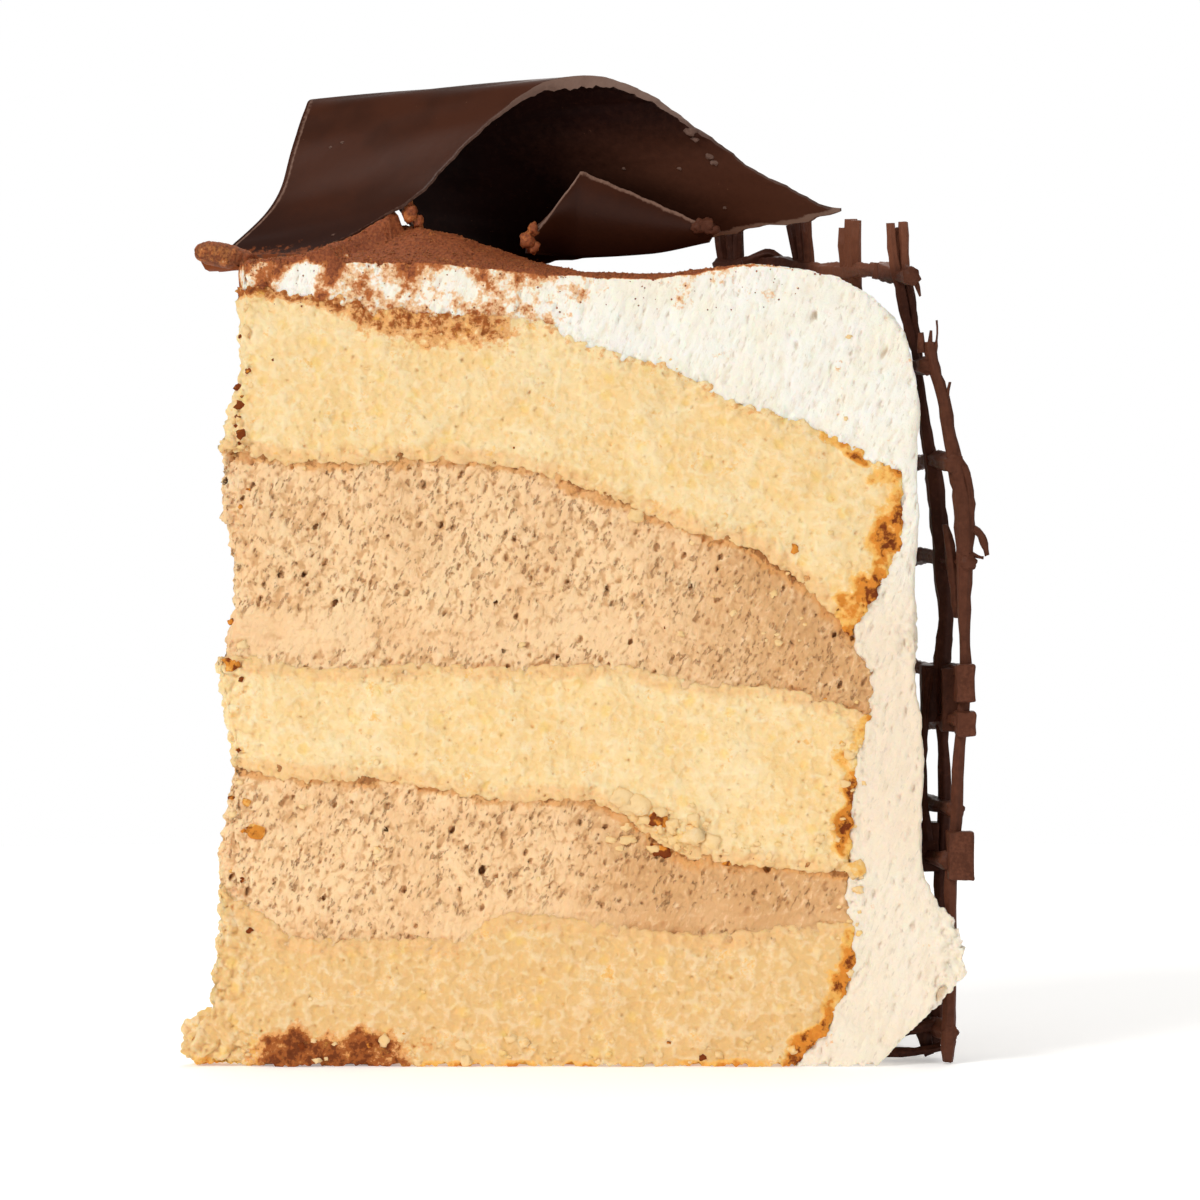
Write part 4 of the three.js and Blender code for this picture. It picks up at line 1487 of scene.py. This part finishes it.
# %% [markdown]
# The uprights behind the shown end are bundles of three strands, as a comb leaves them, fanned out at
# their tops. Each bundle is known by its place round the rim and by the height of its top.

# %% Uprights
UPRIGHTS = [(20, 103.6), (29.4, 105), (39.5, 105.8)]
UPRIGHT_STEPS = 26
SPLAY = 0.55
strands = []


def upright(degrees, top, seed, aside, size, further=0.0):
    """One strand of a bundle: aside is its place in the bundle, in millimetres."""
    heights = [top * s / UPRIGHT_STEPS + 0.6 for s in range(UPRIGHT_STEPS + 1)]
    route = []
    for h in heights:
        fan = aside * (1 + SPLAY * float(step_between(top - 10, top, h)))
        route.append(lattice_point(degrees, h, seed, fan, further + 0.15 * math.sin(h * 0.5 + aside)))
    sizes = [size * (1 + 0.12 * math.sin(h * 0.23 + seed * 2 + aside)) for h in heights]
    strands.append(pipe("upright", route, sizes, seed * 7 + int(aside * 10)))


for n, (degrees, top) in enumerate(UPRIGHTS):
    upright(degrees, top, n + 2, -1.1, 0.78)
    upright(degrees, top + 0.3, n + 2, 0.1, 0.85, 0.15)
    upright(degrees, top - 0.6, n + 2, 1.2, 0.74)
print(len(strands), "upright strands")

# %% [markdown]
# The rings pass on the inner side of the uprights. They sag a little between them, and the upper ones
# climb towards the back.

# %% Rings
RING_HEIGHTS = [3.7, 13.9, 24.9, 30.8, 41.2, 47.3, 60.8, 72.4, 83.8, 94.9]
RING_STEPS = 40
for n, height in enumerate(RING_HEIGHTS):
    route = []
    for s in range(RING_STEPS + 1):
        degrees = LATTICE_START + (LATTICE_END - LATTICE_START) * s / RING_STEPS
        sag = 0.3 * math.sin(degrees * 0.35 + n * 1.7)
        rise = LATTICE_RISE * degrees * (height / 95) ** 3
        route.append(lattice_point(degrees, height + sag + rise, n + 20, further=-0.3))
    sizes = [1.05 * (1 + 0.15 * math.sin(s * 0.55 + n)) for s in range(RING_STEPS + 1)]
    strands.append(pipe("ring", route, sizes, 50 + n))
print(len(strands), "strands round the rim")

# %% [markdown]
# The shown end is where the knife broke the lattice. Its strands are placed one by one from the
# photograph. Each number there is a size in millimetres on the plane of the cut face. A strand further
# behind is moved along the camera's line of sight, so that it stays where the photograph shows it.

# %% A place as the photograph shows it
DISTANCE_MM = CAMERA_DISTANCE / MM
HEIGHT_MM = CAMERA_HEIGHT / MM


def as_seen(x, z, behind):
    """The point that is behind the cut face by so much, and is seen in front of x, z of the cut face."""
    nearness = (DISTANCE_MM + behind) / DISTANCE_MM
    return Vector((x * nearness, CUT_FACE_Y / MM + behind, HEIGHT_MM + (z - HEIGHT_MM) * nearness)) * MM


def broken_strand(name, line, behind, seed):
    """line holds x, z and half width for each point of the strand."""
    route = [as_seen(x, z, behind) for x, z, _ in line]
    strands.append(pipe(name, route, [size for _, _, size in line], seed))


# %% [markdown]
# The post is the only strand of the shown end that goes up to the top. Up there it is two strands with a
# third between them. Lower down it is the inner strand, and a loose thin one runs beside it.

# %% The post
POST_LEFT = [
    (34.9, 101.2, 0.54), (35.0, 98.5, 0.6), (35.5, 95.8, 0.72), (36.1, 92.9, 0.72),
    (36.7, 90.1, 0.66), (37.3, 87.7, 0.6), (37.9, 85.2, 0.54), (38.4, 82.6, 0.54),
    (38.6, 79.9, 0.54), (39.0, 76.9, 0.66), (39.5, 74.2, 0.84), (40.0, 72.0, 0.96),
    (40.3, 69.7, 1.14), (40.6, 66.7, 1.14), (40.9, 63.1, 1.2), (41.3, 58.9, 1.32),
    (41.5, 55.3, 1.02), (41.3, 51.7, 1.02), (41.0, 48.1, 1.08), (40.9, 43.9, 1.08),
    (41.2, 39.1, 0.72), (41.4, 34.3, 0.78), (41.3, 29.5, 0.84), (40.9, 24.7, 0.96),
    (40.9, 19.9, 0.72), (40.8, 13.9, 0.72), (40.5, 9.1, 1.0), (40.2, 6.1, 1.15),
    (40.4, 2.6, 0.9),
]
POST_RIGHT = [
    (36.4, 101.3, 0.54), (36.4, 98.5, 0.6), (36.5, 96.0, 0.72), (37.1, 93.1, 0.6),
    (37.6, 90.1, 0.54), (38.0, 87.7, 0.54), (38.4, 85.7, 0.42), (38.6, 83.3, 0.36),
]
POST_BETWEEN = [
    (35.7, 100.7, 0.5), (35.8, 98.0, 0.6), (36.0, 95.5, 0.7), (36.6, 92.5, 0.7),
    (37.3, 88.9, 0.5),
]
THIN = [
    (39.6, 47.8, 0.6), (39.1, 43.9, 0.6), (38.9, 39.1, 0.36), (38.9, 34.3, 0.36),
    (39.1, 30.5, 0.48), (39.4, 27.1, 0.72),
]
broken_strand("post", POST_LEFT, behind=9, seed=81)
broken_strand("post", POST_RIGHT, behind=9.4, seed=82)
broken_strand("post", POST_BETWEEN, behind=9.8, seed=87)
broken_strand("thin_strand", THIN, behind=8, seed=83)
print(len(strands), "strands with the post")

# %% [markdown]
# The outer strand starts at the broken tips and goes down to the floor. A ridge lies along its upper
# part, and a short strand fills the corner between it and the post.

# %% The outer strand
OUTER = [
    (39.5, 87.0, 0.66), (39.8, 85.0, 0.78), (40.6, 82.3, 0.66), (41.4, 79.7, 0.78),
    (41.9, 75.6, 0.84), (42.5, 72.7, 0.96), (43.1, 70.3, 1.08), (43.6, 67.9, 1.2),
    (43.8, 64.7, 1.2), (43.7, 60.7, 1.02), (43.7, 55.9, 0.84), (43.8, 51.1, 0.66),
    (43.9, 47.8, 0.72), (43.8, 43.9, 0.72), (43.2, 39.1, 0.78), (42.8, 34.3, 0.84),
    (42.7, 29.5, 0.84), (42.5, 25.9, 0.84), (42.0, 22.3, 0.84), (42.0, 17.5, 0.72),
    (42.0, 11.5, 0.72), (41.9, 7.9, 0.84), (41.8, 4.3, 0.96), (41.8, 1.7, 0.85),
    (41.7, 0.6, 0.7),
]
RIDGE = [
    (42.8, 73.7, 0.3), (43.7, 71.8, 0.54), (44.3, 69.4, 0.66), (44.5, 66.7, 0.66),
    (44.4, 64.1, 0.48),
]
MIDDLE = [
    (41.5, 65.0, 0.36), (42.0, 62.5, 0.72), (42.4, 58.9, 0.78), (42.6, 55.3, 0.54),
    (42.7, 53.8, 0.3),
]
broken_strand("outer_strand", OUTER, behind=3, seed=84)
broken_strand("ridge", RIDGE, behind=2.6, seed=85)
broken_strand("middle_strand", MIDDLE, behind=5, seed=86)
print(len(strands), "strands with the outer ones")

# %% [markdown]
# Small remains show where strands snapped: tips near the top, two hooks at mid height and the ends of the
# lowest ring. On the far top ring the nozzle paused and left a blot. They are short strands, like all
# others, so that they have the same ribs.

# %% Broken tips, hooks, the lowest ring and a blot
TIPS = [
    [(38.6, 85.7, 0.42), (38.5, 88.0, 0.25)],
    [(39.6, 85.4, 0.38), (39.7, 88.4, 0.2)],
    [(40.1, 85.7, 0.32), (40.6, 87.6, 0.22), (40.4, 89.5, 0.1)],
    [(41.6, 80.2, 0.36), (42.0, 82.2, 0.16)],
    [(33.1, 94.6, 0.42), (33.2, 96.5, 0.24)],
    [(36.5, 95.8, 0.54), (37.8, 95.5, 0.5), (38.5, 92.4, 0.2)],
    [(44.4, 64.6, 0.48), (45.5, 64.4, 0.48), (46.1, 62.9, 0.42), (46.5, 61.3, 0.3)],
    [(44.2, 61.6, 0.48), (45.4, 61.2, 0.36), (46.0, 61.1, 0.24)],
]
LOWEST_RING = [
    [(33.6, 1.7, 0.7), (36.6, 1.7, 0.55), (39.0, 1.9, 0.6), (40.8, 2.4, 0.6)],
    [(34.6, 3.6, 0.55), (36.6, 4.2, 0.6), (38.6, 4.8, 0.7), (40.6, 5.2, 0.8)],
]
INNER_FOOT = [(37.6, 9.6, 0.7), (38.2, 7.4, 0.95), (38.7, 5.0, 1.15), (39.2, 2.6, 0.95), (39.6, 1.4, 0.7)]
BLOT = [(17.2, 96.4, 0.6), (18.6, 96.9, 0.9), (20.1, 97.5, 1.0), (21.3, 96.9, 0.9), (22.6, 96.2, 0.6)]
for n, line in enumerate(TIPS):
    broken_strand("tip", line, behind=2.8, seed=90 + n)
for n, line in enumerate(LOWEST_RING):
    broken_strand("lowest_ring", line, behind=6, seed=100 + n)
broken_strand("inner_foot", INNER_FOOT, behind=7, seed=103)
broken_strand("blot", BLOT, behind=48, seed=104)
print(len(strands), "strands with the small remains")

# %% [markdown]
# The knife snapped the rings, and their ends are flat. A swept strand would end too neatly there. So each
# end is a cube with bevelled edges, subdivided and smoothed until it looks worn.


# %% The flat broken ends of the rings
def stub(left, low, right, high, behind, depth):
    """A small block with worn edges, between these sides as the photograph shows them."""
    a, b = as_seen(left, low, behind), as_seen(right, high, behind)
    bpy.ops.object.select_all(action="DESELECT")
    middle = (a + b) / 2 + Vector((0, depth / 2 * MM, 0))
    bpy.ops.mesh.primitive_cube_add(size=1, location=middle, scale=(b.x - a.x, depth * MM, b.z - a.z))
    block = bpy.context.object
    bpy.ops.object.transform_apply(location=True, rotation=True, scale=True)
    bpy.ops.object.mode_set(mode="EDIT")
    bpy.ops.mesh.select_all(action="SELECT")
    bpy.ops.mesh.bevel(offset=0.3 * MM, segments=2, affect="EDGES")
    bpy.ops.mesh.subdivide(number_cuts=2)
    bpy.ops.mesh.vertices_smooth(factor=0.5, repeat=2)
    bpy.ops.object.mode_set(mode="OBJECT")
    block.name = "stub"
    strands.append(block)


stub(42.8, 43.7, 45.1, 48.2, behind=0.6, depth=4)
stub(42.8, 39.6, 45.2, 42.6, behind=0.6, depth=4)
stub(41.8, 22.3, 45.0, 28.2, behind=0.6, depth=4)
stub(38.6, 41.3, 40.8, 48.2, behind=8, depth=4)
stub(41.0, 40.2, 43.4, 47.8, behind=5, depth=3)
stub(38.0, 23.4, 40.8, 29.3, behind=8, depth=4)
print(len(strands), "strands and stubs in all")

# %% [markdown]
# The strands lie over one another as in real piping, so they are joined as they are. A union of all
# shapes would take long and would change only what is hidden inside. The outline has done its work and
# goes.

# %% Join the strands
bpy.data.objects.remove(ribbed_outline)
bpy.ops.object.select_all(action="DESELECT")
for strand in strands:
    strand.select_set(True)
lattice = strands[0]
bpy.context.view_layer.objects.active = lattice
bpy.ops.object.join()
lattice.name = "chocolate_lattice_piped"
lattice.data.name = lattice.name
bpy.ops.object.mode_set(mode="EDIT")
bpy.ops.mesh.select_all(action="SELECT")
bpy.ops.mesh.remove_doubles(threshold=0.002 * MM)
bpy.ops.mesh.normals_make_consistent(inside=False)
bpy.ops.object.mode_set(mode="OBJECT")
print("the joined lattice has", len(lattice.data.vertices), "points")

# %% [markdown]
# Chocolate sets with lumps and a rough skin, so two presses make the strands uneven. The broken end in
# front is scraped and catches the light, and so do the tops at the right.

# %% Roughen and finish the lattice
piping_rough = cloud_texture("piping_rough", 0.7 * MM, 3)
piping_lumps = cloud_texture("piping_lumps", 2.5 * MM, 2)
press(lattice, piping_lumps, 0.5 * MM)
press(lattice, piping_rough, 0.3 * MM)
stay_above_floor(lattice)
points = points_of(lattice)
in_front = 1 - step_between(4.2 * MM, 6 * MM, behind_front(points))
keep_attribute(lattice, "broken", 0.6 * (1 - step_between(0.3 * MM, 1.1 * MM, behind_front(points))))
in_light = step_between(95 * MM, 98 * MM, points[:, 2]) * step_between(26 * MM, 29 * MM, points[:, 0])
keep_attribute(lattice, "lit", np.maximum(0.35 * in_front, 0.85 * in_light))
keep_attribute(lattice, "cocoa", np.zeros(len(lattice.data.vertices)))
smooth_shading(lattice)
dress(lattice, "chocolate_lattice", "chocolate", PIPED_CHOCOLATE)

# %% [markdown]
# ## Crumbs and grains of cocoa
# Crumbs lie where the knife went. A few lumps are modelled from a sphere by the same press as the cake.
# Each is then copied many times, and its size and turn make every copy look new.


# %% Lumps
def lump_shape(seed, rings, unevenness):
    """Points and faces of an uneven little lump, about 1 across."""
    bpy.ops.object.select_all(action="DESELECT")
    bpy.ops.mesh.primitive_ico_sphere_add(subdivisions=rings, radius=0.5, location=(seed, 0, 0))
    lump = bpy.context.object
    bpy.ops.object.transform_apply(location=True)
    press(lump, cloud_texture("lump", 0.42, 1), unevenness)
    points = points_of(lump) - [seed, 0, 0]
    faces = [tuple(p.vertices) for p in lump.data.polygons]
    bpy.data.objects.remove(lump)
    return points, faces


# %% [markdown]
# Hundreds of crumbs would be slow to handle as single objects. So all copies of a kind become one mesh.
# Each copy can still keep a number of its own, such as how brown it is.


# %% Copies of lumps as one piece
def scatter(name, shapes, spots, material, slot, extra):
    """One piece made of many copies of lumps: spots are (place, size, (stretch x, y, z))."""
    spread = random.Random(name)
    all_points, all_faces, owners = [], [], []
    count = 0
    for n, (place, size, stretch) in enumerate(spots):
        points, faces = shapes[n % len(shapes)]
        turn = Euler([spread.uniform(0, 6.28) for _ in range(3)]).to_matrix()
        all_points.append((points @ np.array(turn).T) * size * np.array(stretch) + np.array(place))
        all_faces.extend([tuple(i + count for i in face) for face in faces])
        owners.extend([n] * len(points))
        count += len(points)
    placed = np.concatenate(all_points)
    placed[:, 2] = np.maximum(placed[:, 2], FLOOR_GAP)
    mesh = bpy.data.meshes.new(name)
    mesh.from_pydata(placed, [], all_faces)
    piece = bpy.data.objects.new(name, mesh)
    bpy.context.scene.collection.objects.link(piece)
    smooth_shading(piece)
    for key, value in extra.items():
        keep_attribute(piece, key, np.broadcast_to(value, len(spots))[owners])
    return dress(piece, None, slot, material)


# %% [markdown]
# Each crumb sits on the surface. On the shown side it is the one that the camera sees behind a place of
# the cut face, and a ray from the camera finds it. On the far cut a ray straight towards the cut does.

# %% Where a crumb lands
cake_tree = surface_tree(sponge_bottom, sponge_middle, sponge_top, mocha_lower, mocha_upper, coat)


def seen_from_front(x, z, surface=cake_tree):
    """The place on the surface that the camera sees in front of x, z of the cut face, in millimetres."""
    eye = Vector(camera_place)
    return surface.ray_cast(eye, (as_seen(x, z, 0) - eye).normalized())[0]


def on_back_cut(out, z):
    """The place on the far cut face that is so far from the tip and so high, in millimetres."""
    outward = Vector((-math.sin(WEDGE), math.cos(WEDGE), 0))
    return cake_tree.ray_cast(round_the_rim(out, math.degrees(WEDGE), z) + outward * 50 * MM, -outward)[0]


# %% [markdown]
# The knife left most crumbs along the borders of the sponges and at the tip. Each line below is one such
# strip: how many, from where to where across and up the cut face, and how small and large they are, in
# millimetres. Small ones are more common than large ones.

# %% Strips of sponge crumbs
lumps = [lump_shape(seed, 2, 0.9) for seed in (1, 2, 3)]
spread = random.Random(11)
crumbs = []


def crumb_field(count, sideways, upwards, smallest, largest, place_of=seen_from_front):
    """So many crumbs in a strip, most of them near the smallest size."""
    for _ in range(count):
        place = place_of(spread.uniform(*sideways), spread.uniform(*upwards))
        if place is not None:
            size = (smallest + (largest - smallest) * spread.random() ** 2.5) * MM
            flat = (spread.uniform(0.8, 1.4), spread.uniform(0.4, 0.7), spread.uniform(0.6, 1.1))
            crumbs.append((place, size, flat))


crumb_field(40, (-42, 30), (3, 88), 0.3, 0.9)
crumb_field(40, (1, 13), (26, 32), 0.6, 2.2)
crumb_field(26, (8, 30), (50, 66), 0.4, 1.2)
crumb_field(20, (14, 29), (24, 29), 0.4, 1.2)
crumb_field(50, (-43.5, 24), (0.5, 3.4), 0.5, 1.6)
crumb_field(26, (28, 32), (10, 46), 0.5, 1.5)
crumb_field(26, (-44, -41.5), (73, 92), 0.5, 1.3)
crumb_field(26, (-45, -42), (8, 70), 0.5, 1.3)
crumb_field(60, (4, 78), (2, 86), 0.3, 1.0, on_back_cut)
crumb_field(40, (6, 70), (0.5, 3.4), 0.5, 1.5, on_back_cut)
crumb_field(30, (50, 76), (22, 29), 0.5, 1.8, on_back_cut)
print(len(crumbs), "small crumbs")

# %% [markdown]
# Crumbs that came off the browned places are brown, which is half of those at the tip and few of the
# others. The largest are seen one by one in the photograph, so they are placed one by one, each with its
# own share of crust.

# %% Brown crumbs and the largest ones
browned = []
for place, _, _ in crumbs:
    share_browned = 0.5 if place.x < -42 * MM else 0.12
    browned.append(1.5 if spread.random() < share_browned else 0.1)
LARGE_CRUMBS = [(4.2, 66.1, 2.0, 0), (4.8, 31.4, 2.9, 0), (2.6, 32.2, 2.4, 0), (11, 27.4, 2.6, 0)]
LARGE_CRUMBS += [(13.4, 26.9, 2.0, 0), (6.9, 29.6, 1.9, 1.1), (30.8, 23.6, 2.6, 0.62)]
LARGE_CRUMBS += [(-44.2, 48.4, 1.7, 1.1), (-41.3, 28.2, 1.9, 0.9)]
for x, z, size, crust in LARGE_CRUMBS:
    crumbs.append((seen_from_front(x, z), size * MM, (1.2, 0.6, 0.9)))
    browned.append(crust)
print(sum(share > 1 for share in browned), "brown crumbs")
plain = {"hollow": 0, "relief": 0.1, "soak": 0, "cocoa": 0, "shade": 0.3}
scatter("crumbs", lumps, crumbs, CRUMB, "sponge", {**plain, "crust": browned})

# %% [markdown]
# The sieve drops cocoa in grains that show from this near. Thousands of tiny lumps lie on the top, fewer
# towards the rim, and some hang on the cut. A rough texture would cost less, but it would not stand out
# from the edge as grains do. Each grain has few faces, because there are so many.

# %% Grains of cocoa on the top and down the cut
TOP_GRAINS, CUT_GRAINS = 5200, 150
grain_shape = lump_shape(4, 1, 0.5)
grains = []
coat_tree = surface_tree(coat)
spread = random.Random(12)
for _ in range(TOP_GRAINS):
    out = (4 + 74 * spread.random() ** 0.8) * MM
    turn = WEDGE * spread.random() ** 1.5
    if spread.random() < step_between(48 * MM, 76 * MM, out) * 0.93:
        continue
    above = Vector((APEX[0] + out * math.cos(turn), APEX[1] + out * math.sin(turn), HIGH_ABOVE))
    place = coat_tree.ray_cast(above, Vector((0, 0, -1)))[0]
    if place is not None and place.z > 90 * MM:
        grains.append((place, spread.uniform(0.14, 0.36) * MM, (1, 1, 0.8)))
for _ in range(CUT_GRAINS):
    place = seen_from_front(-42 + 66 * spread.random() ** 1.3, 96.5 - 6 * spread.random() ** 2.2)
    if place is not None:
        grains.append((place, spread.uniform(0.12, 0.3) * MM, (1, 0.6, 1)))
print(len(grains), "grains of cocoa")
dusted_cream = {"hollow": 0, "low": 0, "relief": 0}
scatter("cocoa_grains", [grain_shape], grains, CREAM, "chocolate", {**dusted_cream, "cocoa": 1.1})

# %% [markdown]
# A few larger crumbs of cocoa hang where the sheet and the shard touch the cream. They are too few for a
# pattern and too large for paint, so each is a lump in its own place.

# %% Crumbs of cocoa
AT_SHEET = [(-22.7, 102.4, 2.2), (-21.8, 101.3, 1.5), (-22.9, 103.4, 1.2)]
AT_SHARD = [(-8.7, 99.2, 1.7), (-8.0, 98.4, 1.6), (-8.0, 100.4, 1.3)]
SHEET_BEHIND, SHARD_BEHIND = 7, 7.6
uneven_lumps = [lump_shape(seed, 3, 0.7) for seed in (5, 6)]
cocoa_lumps = [(as_seen(x, z, SHEET_BEHIND), size * MM, (0.9, 0.9, 1.1)) for x, z, size in AT_SHEET]
cocoa_lumps += [(as_seen(x, z, SHARD_BEHIND), size * MM, (1.0, 0.8, 1.2)) for x, z, size in AT_SHARD]
scatter("cocoa_crumbs", uneven_lumps, cocoa_lumps, CREAM, "chocolate", {**dusted_cream, "cocoa": 0.95})

# %% [markdown]
# The foot of the sheet pushed the cocoa together into a smooth roll at the left. A row of lumps that
# overlap makes it: they are almost round, so their joints hardly show.

# %% A roll of cocoa
ROLL_FROM, ROLL_TO, ROLL_HEIGHT, ROLL_SLOPE = -47.6, -42.6, 97.75, -0.18
ROLL_LUMPS = 14
ROLL_BEHIND = 6
roll_width = smooth_line([(-47.6, 2.3), (-46.7, 2.9), (-45, 3.0), (-42.6, 2.3)])
smooth_lumps = [lump_shape(seed, 3, 0.14) for seed in (7, 8)]
roll = []
for x in np.linspace(ROLL_FROM, ROLL_TO, ROLL_LUMPS):
    z = ROLL_HEIGHT + ROLL_SLOPE * (x - ROLL_FROM)
    roll.append((as_seen(x, z, ROLL_BEHIND), roll_width(x) * MM, (1.0, 1.1, 1.0)))
scatter("cocoa_roll", smooth_lumps, roll, CREAM, "chocolate", {**dusted_cream, "cocoa": 0.98})

# %% [markdown]
# At the right end of the shard sits a knob of chocolate, where a drop of it set. Three lumps that run
# into each other are enough, because it is small.

# %% A knob of chocolate
KNOB = [(12.6, 100.9, 2.1), (11.7, 100.7, 1.4), (13.6, 100.5, 1.4)]
knob = [(as_seen(x, z, SHARD_BEHIND), size * MM, (1.1, 0.7, 1.0)) for x, z, size in KNOB]
knob_look = {"broken": 0.3, "cocoa": 0.2, "lit": 0.3}
scatter("chocolate_knob", uneven_lumps, knob, PIPED_CHOCOLATE, "chocolate", knob_look)

# %% [markdown]
# Where the sheet broke, small flecks of it fell on its outer side and into the arch. A ray from the
# camera finds the chocolate below each of them.

# %% Flecks of chocolate
FLECKS = [
    (-32.0, 99.8, 0.4), (-30.9, 110.9, 0.5), (-32.3, 110.3, 0.4), (2.9, 107.8, 0.45),
    (9.6, 107.8, 0.5), (10.9, 112.2, 1.3), (11.6, 111.3, 0.9), (13.2, 109.3, 1.0),
    (13.8, 108.5, 0.9), (15.0, 103.1, 0.5),
]
chocolate_tree = surface_tree(sheet, shard)
flecks = []
for x, z, size in FLECKS:
    flecks.append((seen_from_front(x, z, chocolate_tree), size * MM, (1.2, 0.5, 0.8)))
fleck_look = {"broken": 0.4, "cocoa": 0.1, "pale": 0.5}
scatter("chocolate_flecks", lumps, flecks, RIM_CHOCOLATE, "chocolate", fleck_look)

# %% [markdown]
# ## Clearing up
# The empties that turned the textures go.

# %% Close
for helper in (leaning, lying, steep):
    bpy.data.objects.remove(helper)
